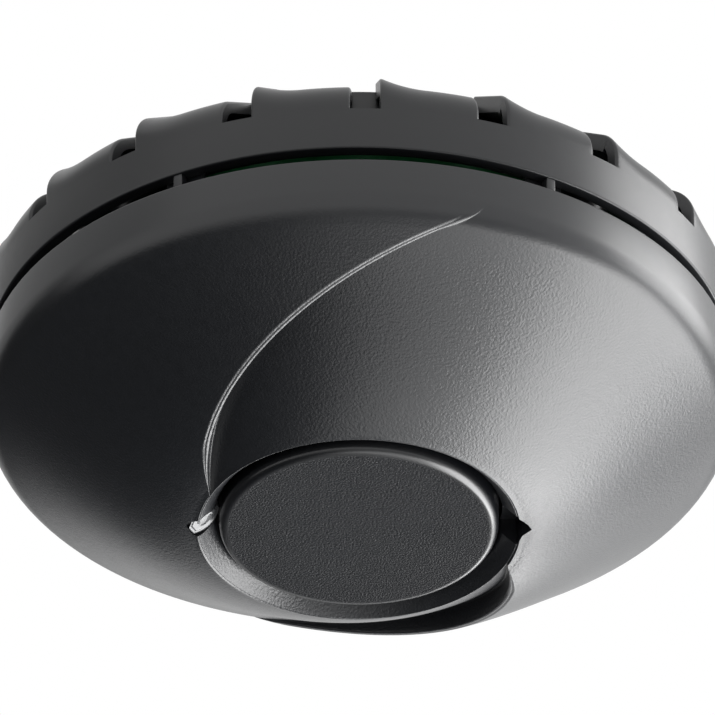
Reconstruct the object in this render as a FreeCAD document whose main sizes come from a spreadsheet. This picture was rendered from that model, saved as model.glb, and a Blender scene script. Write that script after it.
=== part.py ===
import FreeCAD, Part
import math
import os
import re
import Sketcher

# Ceiling smoke alarm. Origin: centre of the mounting plate's back, on the ceiling. +Z points up into
# the ceiling and the alarm hangs below it, so every depth is a positive size and its height is minus it.
# Azimuths are degrees from +X towards +Y. The side that the photo shows nearest is -Y.

doc = FreeCAD.newDocument("SmokeAlarm")
spec = doc.addObject("Spreadsheet::Sheet", "Spec")

# Driving sizes, millimetres and degrees: alias, value, what it is.
SIZES = [
    ("ring_radius", 55.0, "rear housing, outer radius at its lower edge"),
    ("crown_step", 0.2, "how much wider the housing is under the shoulder"),
    ("wall", 1.9, "side wall of both housings"),
    ("back_wall", 1.8, "back wall and recess wall of the rear housing"),
    ("ring_depth", 22.0, "ceiling to the lower edge of the rear housing"),
    ("crown_depth", 3.0, "ceiling to the roof's inner rim"),
    ("notch_rise", 6.8, "lower edge of the rear housing to the bottom of a notch"),
    ("shoulder_rise", 4.8, "bottom of a notch to the corner of wall and roof, before rounding"),
    ("shoulder_round", 4.2, "rounding of the shoulder"),
    ("recess_inset", 13.8, "side wall's outside to the recess in the back that takes the plate"),
    ("floor_depth", 6.2, "ceiling to the floor of that recess"),
    ("notch_count", 18, "notches round the crown"),
    ("notch_azimuth", -89.1, "middle of the first notch"),
    ("notch_angle", 4.56, "width of a notch"),
    ("tooth_rise", 1.7, "how far the saw-tooth end of each scallop stands up"),
    ("tooth_angle", 7.5, "length of the saw tooth"),
    ("lug_angle", 16.0, "width of a bayonet lug"),
    ("lug_thick", 1.4, "thickness of the housing's bayonet lugs"),
    ("lug_reach", 2.8, "how far they stand in from the recess wall"),
    ("stop_angle", 2.0, "width of the stop beside a lug"),
    ("stop_space", 0.5, "lug's end to its stop, in degrees"),
    ("plate_inset", 3.7, "recess wall to the edge of the mounting plate"),
    ("plate_thick", 2.0, "mounting plate"),
    ("plate_window", 14.0, "cable window radius in the plate"),
    ("slot_share", 0.8, "where the screw slots sit, as a share of the plate's radius"),
    ("slot_length", 9.0, "screw slot, end to end"),
    ("slot_width", 4.4, "screw slot"),
    ("plate_lug_thick", 1.2, "thickness of the plate's lugs"),
    ("moving_gap", 0.3, "between bodies that move past each other"),
    ("vent_gap", 2.3, "height of the vent slot"),
    ("skirt_step", 0.4, "how much wider the front cover is than the ring"),
    ("skirt_high", 8.166668, "upright part of the skirt, before rounding"),
    ("lip_radius", 23.5, "round recess in the front"),
    ("dome_round", 6.0, "rounding between dome and skirt"),
    ("dome_wall", 2.2, "dome wall, measured upright"),
    ("swirl_rise", 3.0, "how far the raised side of a spiral step hangs down"),
    ("swirl_dip", 0.5, "dip on the low side, as a share of the rise"),
    ("swirl_fade", 0.16, "how fast the dip fades, as a share of half a turn"),
    ("swirl_start", -159.0, "azimuth of the first spiral at the lip"),
    ("swirl_sweep", 88.6, "turn of the spiral from lip to rim"),
    ("swirl_power", 0.85, "how evenly the spiral opens"),
    ("rise_power", 0.8, "where along the spiral the step is highest"),
    ("rise_end", 0.15, "step left at lip and rim"),
    ("well_depth", 8.4, "lip to the floor of the recess"),
    ("well_wall", 1.8, "wall of the recess"),
    ("well_floor", 2.0, "floor of the recess"),
    ("sound_slots", 12, "sound slots in that floor"),
    ("sound_circle", 11.5, "their middle radius"),
    ("sound_length", 7.0, "their radial length"),
    ("sound_width", 1.6, "their width"),
    ("rib_azimuth", 0.9, "first rib across the vent slot"),
    ("rib_count", 6, "ribs"),
    ("rib_width", 1.5, "rib"),
    ("rib_inset", 0.3, "ring's outside to the rib's"),
    ("foot_high", 3.0, "foot of a rib inside the skirt"),
    ("tongue_thick", 1.3, "locating tongue behind a rib"),
    ("tongue_rise", 4.0, "how far it reaches up inside the rear housing"),
    ("beak_azimuth", -1.5, "pointed notch in the lip"),
    ("beak_reach", 2.4, "how far its point goes past the lip"),
    ("beak_half", 4.6, "half its width"),
    ("beak_depth", 4.6, "how deep it is cut"),
    ("lens_azimuth", 186.0, "leaf-shaped lens across the lip"),
    ("lens_past", 2.6, "how far the lens reaches in past the lip"),
    ("lens_over", 2.5, "how far it reaches out over the dome"),
    ("lens_width", 3.8, "widest part of the lens"),
    ("lens_slope", 3.6, "how much higher the inner tip sits"),
    ("pipe_radius", 1.5, "rod of the light pipe"),
    ("fit_gap", 0.1, "play of fixed pieces in their seats"),
    ("past", 1.0, "how far a cutting tool runs past the solid that it cuts"),
    ("button_gap", 3.1, "ring-shaped gap round the test button"),
    ("button_face", 2.0, "thickness of its face"),
    ("button_round", 0.9, "rounding of its edge"),
    ("button_skirt", 5.6, "height of its side wall"),
    ("button_wall", 1.6, "thickness of its side wall"),
    ("button_travel", 0.6, "press"),
    ("post_radius", 2.9, "post of the button"),
    ("post_play", 0.08, "running play of the post in its guide"),
    ("guide_wall", 2.0, "guide tube wall"),
    ("guide_rise", 6.0, "guide tube height over the recess floor"),
    ("hook_count", 3, "snap hooks of the button"),
    ("hook_azimuth", 90.0, "first hook"),
    ("hook_width", 4.6, "hook"),
    ("hook_inset", 0.2, "button's side to the hook's leg"),
    ("hook_thick", 1.3, "hook leg"),
    ("hook_reach", 0.8, "overhang of the hook"),
    ("hook_nose", 1.1, "height of the hook's nose"),
    ("spring_wire", 0.55, "return spring wire diameter"),
    ("spring_radius", 4.1, "return spring, to the wire's middle"),
    ("spring_turns", 3.5, "turns"),
    ("board_gap", 3.6, "circuit board to the side wall"),
    ("board_lift", 2.4, "lower edge of the rear housing to the board's upper face"),
    ("board_thick", 1.6, "circuit board"),
    ("post_inset", 4.2, "recess wall to the circle of the four housing screws"),
    ("post_azimuth", 30.0, "first screw, from the X axis"),
    ("post_outer", 4.6, "posts of the rear housing"),
    ("boss_outer", 4.0, "screw bosses of the cover"),
    ("screw_radius", 1.45, "thread-forming screw, shank"),
    ("screw_head", 2.7, "its head radius"),
    ("screw_head_high", 2.2, "its head height"),
    ("screw_sink", 2.8, "head seat below the recess floor"),
    ("screw_length", 20.0, "shank under the head"),
    ("chamber_radius", 24.0, "optical chamber base"),
    ("chamber_floor", 1.2, "its floor"),
    ("chamber_gap", 0.4, "back wall to the chamber's lid"),
    ("lid_inset", 1.4, "chamber base's edge to the lid's edge"),
    ("lid_thick", 1.2, "lid"),
    ("vane_count", 20, "light-trap vanes"),
    ("vane_circle", 20.2, "circle of the vanes"),
    ("vane_length", 5.6, "vane"),
    ("vane_thick", 0.8, "vane"),
    ("vane_turn", 48.0, "turn of a vane away from the radius"),
    ("screen_thick", 0.3, "insect screen"),
    ("screen_inset", 0.3, "chamber base's edge to the screen"),
    ("lamp_radius", 1.5, "emitter and receiver lamps"),
    ("lamp_length", 5.2, "their length"),
    ("lamp_reach", 9.0, "from the axis to the lamp's front"),
    ("lamp_azimuth", 270.0, "side of the chamber on which both lamps sit"),
    ("lamp_split", 62.0, "half the angle between the two lamps"),
    ("holder_width", 5.0, "lamp holder"),
    ("holder_back", 1.2, "holder behind the lamp"),
    ("shield_length", 9.0, "receiver shield"),
    ("shield_width", 7.0, "receiver shield"),
    ("shield_high", 3.0, "receiver shield"),
    ("shield_gap", 1.0, "chamber to the shield"),
    ("sheet_thick", 0.3, "shield and strip metal"),
    ("cell_radius", 8.5, "lithium cell"),
    ("cell_length", 34.5, "lithium cell"),
    ("cell_share", 0.646465, "its distance from the axis, as a share of the board's radius"),
    ("cell_edge", 0.7, "chamfer of its ends"),
    ("cap_nub", 1.2, "height of the cell's positive cap"),
    ("cap_nub_radius", 3.2, "cell's positive cap"),
    ("front_room", 14.2, "under the cell: its gap, the dome wall and the depth of the recess"),
    ("strip_width", 5.0, "nickel strip"),
    ("horn_radius", 14.5, "sounder cup"),
    ("horn_high", 11.3, "sounder cup"),
    ("horn_wall", 1.2, "sounder cup"),
    ("horn_mouth", 4.0, "mouth of the cup"),
    ("horn_share", 0.686869, "its distance from the axis, as a share of the board's radius"),
    ("horn_ledge", 1.2, "ledge under the disc's edge"),
    ("disc_radius", 12.6, "piezo disc"),
    ("disc_thick", 0.25, "piezo disc"),
    ("disc_drop", 5.6, "disc below the board"),
    ("ceramic_radius", 8.6, "ceramic layer"),
    ("contact_radius", 0.6, "spring pins"),
    ("switch_side", 12.0, "tact switch"),
    ("switch_high", 3.6, "tact switch"),
    ("stem_radius", 1.75, "its stem"),
    ("stem_out", 1.6, "stem standing out of the switch"),
    ("stem_in", 1.6, "stem inside the switch"),
    ("led_radius", 1.6, "status lamp"),
    ("led_high", 2.6, "status lamp"),
    ("coil_radius", 4.0, "step-up coil"),
    ("coil_high", 8.0, "step-up coil"),
    ("cap_radius", 3.2, "buffer capacitor"),
    ("cap_high", 9.0, "buffer capacitor"),
    ("cap_inset", 18.5, "board's edge to the capacitor's middle"),
    ("chip_side", 7.0, "controller"),
    ("chip_high", 1.4, "controller"),
    ("chip_reach", 14.0, "axis to the controller's middle"),
    ("chip_azimuth", 45.0, "controller"),
    ("part_count", 10, "small chip parts"),
    ("part_length", 2.0, "small chip part"),
    ("part_width", 1.25, "small chip part"),
    ("part_high", 0.8, "small chip part"),
    ("part_inset", 6.5, "board's edge to the middle of the small parts"),
    ("part_step", 7.0, "angle between the small parts"),
    ("part_azimuth", -32.0, "first small part"),
]

# Sizes that follow from the others.
FOLLOWING = [
    ("ring_bore", "ring_radius - wall"),
    ("crown_radius", "ring_radius + crown_step"),
    ("recess_radius", "ring_radius - recess_inset"),
    ("notch_depth", "ring_depth - notch_rise"),
    ("shoulder_depth", "notch_depth - shoulder_rise"),
    ("board_radius", "ring_bore - board_gap"),
    ("board_depth", "ring_depth - board_lift"),
    ("board_low", "board_depth + board_thick"),
    ("lip_depth", "board_low + 2 * cell_radius + front_room"),
    ("plate_radius", "recess_radius - plate_inset"),
    ("slot_spacing", "2 * slot_share * plate_radius"),
    ("post_circle", "recess_radius - post_inset"),
    ("recess_outer", "recess_radius + back_wall"),
    ("back_depth", "floor_depth + back_wall"),
    ("roof_fall", "(shoulder_depth - crown_depth) / (crown_radius - recess_outer)"),
    ("roof_under", "back_wall * sqrt(1 + roof_fall^2)"),
    ("bend_reach", "shoulder_round * (sqrt(1 + roof_fall^2) - roof_fall)"),
    ("bend_depth", "shoulder_depth + bend_reach"),
    ("bend_centre", "crown_radius - shoulder_round"),
    ("bend_step", "atan(bend_reach / shoulder_round) / (2 * 1 deg)"),
    ("lug_depth", "crown_depth + lug_thick"),
    ("plate_lug_top", "lug_depth + moving_gap"),
    ("plate_lug_low", "plate_lug_top + plate_lug_thick"),
    ("plate_lug_radius", "recess_radius - 1.5 * moving_gap"),
    ("skirt_radius", "ring_radius + skirt_step"),
    ("skirt_depth", "ring_depth + vent_gap"),
    ("dome_fall", "(lip_depth - skirt_depth - skirt_high) / (skirt_radius - lip_radius)"),
    ("dome_slope", "atan(dome_fall) / (1 * 1 deg)"),
    ("skirt_bore", "skirt_radius - 1.1 * wall"),
    ("well_floor_low", "lip_depth - well_depth"),
    ("well_floor_top", "well_floor_low - well_floor"),
    ("well_outer", "lip_radius + well_wall"),
    ("guide_bore", "post_radius + post_play"),
    ("guide_outer", "guide_bore + guide_wall"),
    ("lens_in", "lip_radius - lens_past"),
    ("lens_out", "lip_radius + lens_over"),
    ("button_radius", "lip_radius - button_gap"),
    ("button_low", "lip_depth"),
    ("button_inside", "button_low - button_face"),
    ("button_rim", "button_low - button_skirt"),
    ("stem_low", "board_low + switch_high + stem_out"),
    ("stem_top", "board_low + switch_high - stem_in"),
    ("hook_out", "button_radius - hook_inset"),
    ("hook_in", "hook_out - hook_thick"),
    ("hook_under", "well_floor_top - moving_gap"),
    ("hook_top", "hook_under - hook_nose"),
    ("screw_seat", "floor_depth + screw_sink"),
    ("chamber_floor_top", "board_depth - chamber_floor"),
    ("chamber_top", "back_depth + chamber_gap"),
    ("lid_radius", "chamber_radius - lid_inset"),
    ("shield_reach", "chamber_radius + shield_gap + shield_length / 2"),
    ("cell_reach", "cell_share * board_radius"),
    ("horn_reach", "horn_share * board_radius"),
    ("coil_reach", "lens_out + coil_radius"),
    ("cap_reach", "board_radius - cap_inset"),
    ("part_reach", "board_radius - part_inset"),
    ("lid_under", "chamber_top + lid_thick"),
    ("lamp_height", "(chamber_floor_top + lid_under) / 2"),
    ("cell_height", "board_low + fit_gap + cell_radius"),
    ("disc_depth", "board_low + disc_drop"),
]

ALIASES = [row[0] for row in SIZES] + [row[0] for row in FOLLOWING]


def fill_sheet():
    """Write the driving sizes as plain numbers, then the sizes that follow from them."""
    for line, (alias, number, meaning) in enumerate(SIZES, start=1):
        spec.set("A%d" % line, str(number))
        spec.setAlias("A%d" % line, alias)
        spec.set("B%d" % line, meaning)
    for line, (alias, rule) in enumerate(FOLLOWING, start=len(SIZES) + 1):
        spec.set("A%d" % line, "=" + rule)
        spec.setAlias("A%d" % line, alias)
    doc.recompute()


def size(alias):
    """The number that a cell of the sheet holds now."""
    return float(spec.get(alias))


def bound(rule):
    """A rule over aliases, written so that any object of the document can follow it."""
    def cell(word):
        return "Spec." + word.group(0) if word.group(0) in ALIASES else word.group(0)
    return re.sub(r"[a-z][a-z_0-9]*", cell, rule)


# Building blocks whose sizes and places follow the sheet.

def place(item, x, y, z, angle=None):
    """Bind an object's position, and its turn about Z where one is given."""
    if angle is not None:
        item.Placement = FreeCAD.Placement(FreeCAD.Vector(), FreeCAD.Rotation(FreeCAD.Vector(0, 0, 1), 1))
        item.setExpression("Placement.Rotation.Angle", bound(angle))
    item.setExpression("Placement.Base.x", bound(x))
    item.setExpression("Placement.Base.y", bound(y))
    item.setExpression("Placement.Base.z", bound(z))
    return item


def rod(name, radius, low, high, x="0", y="0"):
    """Upright round bar between two depths below the ceiling."""
    item = doc.addObject("Part::Cylinder", name)
    item.setExpression("Radius", bound(radius))
    item.setExpression("Height", bound("(%s) - (%s)" % (low, high)))
    return place(item, x, y, "-(%s)" % low)


def block(name, angle, near, far, width, low, high):
    """Box along the radius at an azimuth, from near to far, centred on that radius."""
    item = doc.addObject("Part::Box", name)
    item.setExpression("Length", bound("(%s) - (%s)" % (far, near)))
    item.setExpression("Width", bound(width))
    item.setExpression("Height", bound("(%s) - (%s)" % (low, high)))
    across = "(%s) / 2" % width
    x = "(%s) * cos(%s) + %s * sin(%s)" % (near, angle, across, angle)
    y = "(%s) * sin(%s) - %s * cos(%s)" % (near, angle, across, angle)
    return place(item, x, y, "-(%s)" % low, angle)


def polar(reach, angle):
    """The x and y rules of a point at a reach and an azimuth."""
    return "(%s) * cos(%s)" % (reach, angle), "(%s) * sin(%s)" % (reach, angle)


def fuse(name, items):
    joined = doc.addObject("Part::MultiFuse", name)
    joined.Shapes = items
    return joined


def cut(name, base, items):
    tool = items[0]
    if len(items) > 1:
        tool = fuse(name + "_tools", items)
    result = doc.addObject("Part::Cut", name)
    result.Base = base
    result.Tool = tool
    return result


def free_shape(name, shape):
    """A sub-shape whose form is worked out here from the sheet's sizes."""
    item = doc.addObject("Part::Feature", name)
    item.Shape = shape
    item.Placement = FreeCAD.Placement()
    return item


def plane_of(body, role):
    return [part for part in body.Origin.OriginFeatures if part.Role == role][0]


def outline(body, name, role, corners):
    """Closed outline on an origin plane of the body, each corner held by two bound distances."""
    sketch = body.newObject("Sketcher::SketchObject", name)
    sketch.AttachmentSupport = [(plane_of(body, role), "")]
    sketch.MapMode = "FlatFace"
    count = len(corners)
    middle = size("ring_radius")
    spread = middle / 2
    start = []
    for k in range(count):
        turn = 2 * math.pi * k / count
        start.append(FreeCAD.Vector(middle + spread * math.cos(turn), spread * math.sin(turn), 0))
    for k in range(count):
        sketch.addGeometry(Part.LineSegment(start[k], start[(k + 1) % count]))
    for k in range(count):
        sketch.addConstraint(Sketcher.Constraint("Coincident", k, 2, (k + 1) % count, 1))
    for k, (across, up) in enumerate(corners):
        held = sketch.addConstraint(Sketcher.Constraint("DistanceX", -1, 1, k, 1, start[k].x))
        sketch.setExpression("Constraints[%d]" % held, bound(across))
        held = sketch.addConstraint(Sketcher.Constraint("DistanceY", -1, 1, k, 1, start[k].y))
        sketch.setExpression("Constraints[%d]" % held, bound(up))
    return sketch


def turned(name, corners):
    """Body turned about Z from an outline of radius and height."""
    body = doc.addObject("PartDesign::Body", name)
    sketch = outline(body, name + "_outline", "XZ_Plane", corners)
    turn = body.newObject("PartDesign::Revolution", name + "_turned")
    turn.Profile = sketch
    turn.ReferenceAxis = (sketch, ["V_Axis"])
    turn.Angle = 360
    body.Tip = turn
    doc.recompute()
    return body


# Rear housing: ring, notched saw-tooth crown, back wall with the plate's recess, posts.

def housing_turned():
    """Ring, shoulder, roof, recess wall and back wall in one turn; the shoulder is drawn in four chords."""
    corners = [("ring_bore", "-ring_depth"), ("ring_radius", "-ring_depth")]
    corners.append(("crown_radius", "-notch_depth"))
    for k in range(5):
        across = "bend_centre + shoulder_round * cos(%d * bend_step)" % k
        corners.append((across, "-bend_depth + shoulder_round * sin(%d * bend_step)" % k))
    corners += [
        ("recess_outer", "-crown_depth"),
        ("recess_radius", "-crown_depth"),
        ("recess_radius", "-floor_depth"),
        ("0", "-floor_depth"),
        ("0", "-back_depth"),
        ("recess_outer", "-back_depth"),
        ("recess_outer", "-(crown_depth + roof_under)"),
        ("bend_centre", "-(crown_depth + roof_under + (bend_centre - recess_outer) * roof_fall)"),
        ("ring_bore", "-bend_depth"),
    ]
    return turned("housing_shell", corners)


def tooth_section(turn, rise):
    """Radial section of a saw tooth, at a turn in degrees: the shell's shoulder and roof, lifted."""
    slack = size("fit_gap")
    bend = size("shoulder_round")
    corners = []
    for k in range(5):
        turned_by = math.radians(k * size("bend_step"))
        across = size("bend_centre") - slack + bend * math.cos(turned_by)
        corners.append(FreeCAD.Vector(across, 0, rise - size("bend_depth") + bend * math.sin(turned_by)))
    level = rise - size("crown_depth") + slack * size("roof_fall")
    inner = FreeCAD.Vector(size("recess_outer") - slack, 0, level)
    under = FreeCAD.Vector(0, 0, -(rise + 0.6 * size("back_wall")))
    inset = FreeCAD.Vector(-0.6 * size("wall"), 0, -size("tooth_rise"))
    corners = [corners[0] + inset] + corners + [inner, inner + under, corners[4] + under]
    wire = Part.makePolygon(corners + corners[:1])
    wire.rotate(FreeCAD.Vector(), FreeCAD.Vector(0, 0, 1), turn)
    return wire


def saw_teeth():
    """The raised end of each scallop, which falls away to the plain crown."""
    start = size("notch_azimuth") + size("notch_angle") / 2
    sections = []
    for share in (0.0, 0.3, 0.65, 1.0):
        rise = size("tooth_rise") * ((1 - share) ** 2 - 0.15 * share)
        sections.append(tooth_section(start + share * size("tooth_angle"), rise))
    tooth = Part.makeLoft(sections, True, True)
    teeth = []
    count = int(size("notch_count"))
    for k in range(count):
        copy = tooth.copy()
        copy.rotate(FreeCAD.Vector(), FreeCAD.Vector(0, 0, 1), 360.0 * k / count)
        teeth.append(copy)
    return free_shape("saw_teeth", Part.makeCompound(teeth))


def sector(name, inner, outer, low, high, middle, angle):
    """Arc-shaped lug between two radii and two depths, centred on an azimuth."""
    item = doc.addObject("Part::Cylinder", name + "_outer")
    item.setExpression("Radius", bound(outer))
    item.setExpression("Height", bound("(%s) - (%s)" % (low, high)))
    item.setExpression("Angle", bound(angle))
    place(item, "0", "0", "-(%s)" % low, "%s - (%s) / 2" % (middle, angle))
    core = rod(name + "_inner", inner, "(%s) + past" % low, "(%s) - past" % high)
    return cut(name, item, [core])


def screw_azimuths():
    return ["post_azimuth", "180 - post_azimuth", "180 + post_azimuth", "-post_azimuth"]


def rear_housing():
    notches = []
    for k in range(int(size("notch_count"))):
        middle = "notch_azimuth + %d * 360 / notch_count" % k
        notches.append(sector("notch_%d" % k, "recess_outer", "crown_radius + past", "notch_depth", "-past",
                              middle, "notch_angle"))
    joined = [cut("housing_notched", housing_turned(), notches), saw_teeth()]
    cuts = []
    for k, angle in enumerate(screw_azimuths()):
        x, y = polar("post_circle", angle)
        top = "back_depth - 0.5 * back_wall"
        joined.append(rod("housing_post_%d" % k, "post_outer", "board_depth", top, x, y))
        top = "floor_depth - past"
        cuts.append(rod("screw_way_%d" % k, "screw_radius + fit_gap", "board_depth + past", top, x, y))
        cuts.append(rod("head_way_%d" % k, "screw_head + moving_gap", "screw_seat", top, x, y))
    for k in range(3):
        turn = "%d + 90" % (120 * k)
        outer = "recess_radius + 0.5 * back_wall"
        inner = "recess_radius - lug_reach"
        joined.append(sector("housing_lug_%d" % k, inner, outer, "lug_depth", "crown_depth", turn,
                             "lug_angle"))
        stop = "%s - (lug_angle + stop_angle) / 2 - stop_space" % turn
        joined.append(sector("lug_stop_%d" % k, inner, outer, "floor_depth + 0.5 * back_wall", "crown_depth",
                             stop, "stop_angle"))
    return cut("rear_housing", fuse("housing_joined", joined), cuts)


# Front cover: skirt, dome with two spiral steps, round recess, ribs and bosses.

def dome_depth(radius):
    """Depth of the plain dome: a cone from the lip, rounded into the skirt."""
    slope = math.radians(size("dome_slope"))
    bend = size("dome_round")
    skirt = size("skirt_radius")
    corner = size("lip_depth") - (skirt - size("lip_radius")) * math.tan(slope)
    reach = bend * math.tan((math.pi / 2 - slope) / 2)
    centre_radius = skirt - bend
    centre_depth = corner - reach
    steepest = math.radians(70)
    last = centre_radius + bend * math.sin(steepest)
    if radius <= centre_radius + bend * math.sin(slope):
        return size("lip_depth") - (radius - size("lip_radius")) * math.tan(slope)
    if radius <= last:
        return centre_depth + math.sqrt(bend ** 2 - (radius - centre_radius) ** 2)
    return centre_depth + bend * math.cos(steepest) - (radius - last) * math.tan(steepest)


def blade_point(share, half_turn):
    """Point on one blade: share runs from lip to rim, half_turn from one spiral at 0 to the next at 1."""
    edge = 0.4 - 0.15 * math.exp(-half_turn / 0.1)
    span = size("skirt_radius") - size("lip_radius")
    radius = size("lip_radius") - edge + share * (span + 2 * edge)
    azimuth = size("swirl_start") + size("swirl_sweep") * share ** size("swirl_power") + 180 * half_turn
    way = min(max((radius - size("lip_radius")) / span, 0.0), 1.0)
    swell = math.sin(math.pi * way ** size("rise_power"))
    rise = size("rise_end") + (size("swirl_rise") - size("rise_end")) * swell
    hang = rise * (half_turn - size("swirl_dip") * math.exp(-half_turn / size("swirl_fade")))
    turn = math.radians(azimuth)
    return FreeCAD.Vector(radius * math.cos(turn), radius * math.sin(turn), -dome_depth(radius) - hang)


def blade():
    """Solid over one half of the dome: ruled strips from lip to rim, carried up to well above the board."""
    shares = [0, 0.15, 0.32, 0.5, 0.68, 0.8, 0.9, 0.95, 0.98, 1.0]
    turns = [-0.06, -0.04, 0.0, 0.04, 0.1, 0.18, 0.28, 0.4, 0.53, 0.66, 0.78, 0.88, 0.95, 0.985, 1.0]
    arcs = []
    for share in shares:
        arc = Part.BSplineCurve()
        arc.interpolate([blade_point(share, turn) for turn in turns])
        arcs.append(Part.Wire([arc.toShape()]))
    face = Part.makeLoft(arcs, False, True)
    up = FreeCAD.Vector(0, 0, size("lip_depth"))
    walls = [edge.extrude(up) for edge in Part.Shell(face.Faces).getFreeEdges().Edges]
    lid = face.translated(up)
    skin = Part.Compound(face.Faces + lid.Faces + walls)
    skin.sewShape()
    solid = Part.Solid(skin.Shells[0])
    if solid.Volume < 0:
        solid.reverse()
    return solid


def both_blades():
    first = blade()
    second = first.copy()
    second.rotate(FreeCAD.Vector(), FreeCAD.Vector(0, 0, 1), 180)
    return first.fuse(second)


def bar(radius, low, high, x=0.0, y=0.0):
    """Upright round bar as a bare shape, between two depths."""
    return Part.makeCylinder(radius, low - high, FreeCAD.Vector(x, y, -low))


def at(reach, azimuth):
    turn = math.radians(azimuth)
    return reach * math.cos(turn), reach * math.sin(turn)


def spot(azimuth, out, across, depth):
    """Point at a distance out along an azimuth and a distance across it."""
    turn = math.radians(azimuth)
    x = out * math.cos(turn) - across * math.sin(turn)
    y = out * math.sin(turn) + across * math.cos(turn)
    return FreeCAD.Vector(x, y, -depth)


def leaf(azimuth, inner, outer, width, low, high):
    """Upright prism with a pointed leaf as its outline, lying across the lip."""
    middle = (inner + outer) / 2
    tips = [spot(azimuth, inner, 0, low), spot(azimuth, outer, 0, low)]
    sides = [spot(azimuth, middle, width / 2, low), spot(azimuth, middle, -width / 2, low)]
    there = Part.Arc(tips[0], sides[0], tips[1]).toShape()
    back = Part.Arc(tips[1], sides[1], tips[0]).toShape()
    return Part.Face(Part.Wire([there, back])).extrude(FreeCAD.Vector(0, 0, low - high))


def beak(grow):
    """Pointed notch at the lip, opposite the lens."""
    lip = size("lip_radius")
    inner = lip - 2 * size("past")
    low = size("lip_depth") + 2 * size("past")
    high = size("lip_depth") - size("beak_depth") - grow
    half = size("beak_half") + grow
    reach = math.sqrt(lip ** 2 - size("beak_half") ** 2)
    point = lip + size("beak_reach") + grow
    points = [(inner, half), (reach, half), (point, 0), (reach, -half), (inner, -half)]
    corners = [spot(size("beak_azimuth"), out, across, low) for out, across in points]
    return Part.Face(Part.makePolygon(corners + corners[:1])).extrude(FreeCAD.Vector(0, 0, low - high))


def cover_shell():
    """Dome and skirt as one moulded wall that follows the spiral steps inside too."""
    low = size("lip_depth") + size("well_depth")
    top = size("skirt_depth")
    past = size("past")
    outer = both_blades().common(bar(size("skirt_radius"), low, top))
    above = size("dome_wall") + size("swirl_dip") * size("swirl_rise")
    slope = math.tan(math.radians(size("dome_slope")))
    inside = size("skirt_bore")
    rim = size("lip_depth") - (inside - size("lip_radius")) * slope - above
    corners = [(0, rim + inside * slope), (inside, rim), (inside, top - past), (0, top - past)]
    points = [FreeCAD.Vector(r, 0, -depth) for r, depth in corners]
    hollow = Part.Face(Part.makePolygon(points + points[:1]))
    hollow = hollow.revolve(FreeCAD.Vector(), FreeCAD.Vector(0, 0, 1), 360)
    keep = [bar(size("well_outer"), low, size("well_floor_top"))]
    keep.append(beak(size("well_wall")))
    x, y = at((size("lens_in") + size("lens_out")) / 2, size("lens_azimuth"))
    keep.append(bar(size("lens_width") / 2 + size("well_wall"), low, size("well_floor_top"), x, y))
    for angle in boss_angles():
        x, y = at(size("post_circle"), angle)
        keep.append(bar(size("boss_outer"), low, top - 2 * past, x, y))
    room = bar(size("lip_radius") + 0.5 * size("well_wall"), size("well_floor_top"), top - past)
    shell = outer.cut(hollow.cut(keep).fuse(room))
    well = bar(size("lip_radius"), low, size("well_floor_low"))
    return free_shape("cover_shell", shell.cut(well))


def boss_angles():
    first = size("post_azimuth")
    return [first, 180 - first, 180 + first, -first]


def front_cover():
    joined = [cover_shell()]
    joined.append(rod("well_floor_disc", "lip_radius + 0.5 * well_wall", "well_floor_low", "well_floor_top"))
    cuts = [free_shape("beak_cut", beak(0.0))]
    gap = size("fit_gap")
    past = size("past")
    seat = leaf(size("lens_azimuth"), size("lens_in") - gap, size("lens_out") + gap,
                size("lens_width") + 2 * gap, size("lip_depth") + 2 * past, size("well_floor_top") - past)
    cuts.append(free_shape("lens_seat", seat))
    for k, angle in enumerate(screw_azimuths()):
        x, y = polar("post_circle", angle)
        joined.append(rod("boss_top_%d" % k, "boss_outer", "skirt_depth + past", "board_low", x, y))
        cuts.append(rod("boss_hole_%d" % k, "screw_radius + fit_gap / 2", "screw_seat + screw_length + past",
                        "board_low - past", x, y))
    guide_top = "well_floor_top - guide_rise"
    joined.append(rod("guide_tube", "guide_outer", "well_floor_top + 0.5 * well_floor", guide_top))
    cuts.append(rod("guide_hole", "guide_bore", "well_floor_low + past", guide_top + " - past"))
    for k in range(int(size("sound_slots"))):
        angle = "(%d + 0.5) * 360 / sound_slots" % k
        near = "sound_circle - sound_length / 2"
        far = "sound_circle + sound_length / 2"
        cuts.append(block("sound_slot_%d" % k, angle, near, far, "sound_width", "well_floor_low + past",
                          "well_floor_top - past"))
    for k in range(int(size("hook_count"))):
        angle = "hook_azimuth + %d * 360 / hook_count" % k
        cuts.append(block("hook_slot_%d" % k, angle, "hook_in - moving_gap", "hook_out + moving_gap",
                          "hook_width + 3 * moving_gap", "well_floor_low + past", "well_floor_top - past"))
    for k in range(int(size("rib_count"))):
        angle = "rib_azimuth + %d * 360 / rib_count" % k
        joined.append(block("rib_%d" % k, angle, "ring_bore + 2 * fit_gap", "ring_radius - rib_inset",
                            "rib_width", "skirt_depth + past", "ring_depth"))
        near = "ring_bore - moving_gap - tongue_thick"
        low = "skirt_depth + foot_high"
        joined.append(block("tongue_%d" % k, angle, near, "ring_bore - moving_gap", "4 * rib_width", low,
                            "ring_depth - tongue_rise"))
        joined.append(block("rib_foot_%d" % k, angle, near, "ring_radius - 2 * rib_inset", "4 * rib_width",
                            low, "skirt_depth"))
    return cut("front_cover", fuse("cover_joined", joined), cuts)


# Test button: textured face, side wall, guide post and snap hooks.

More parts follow.
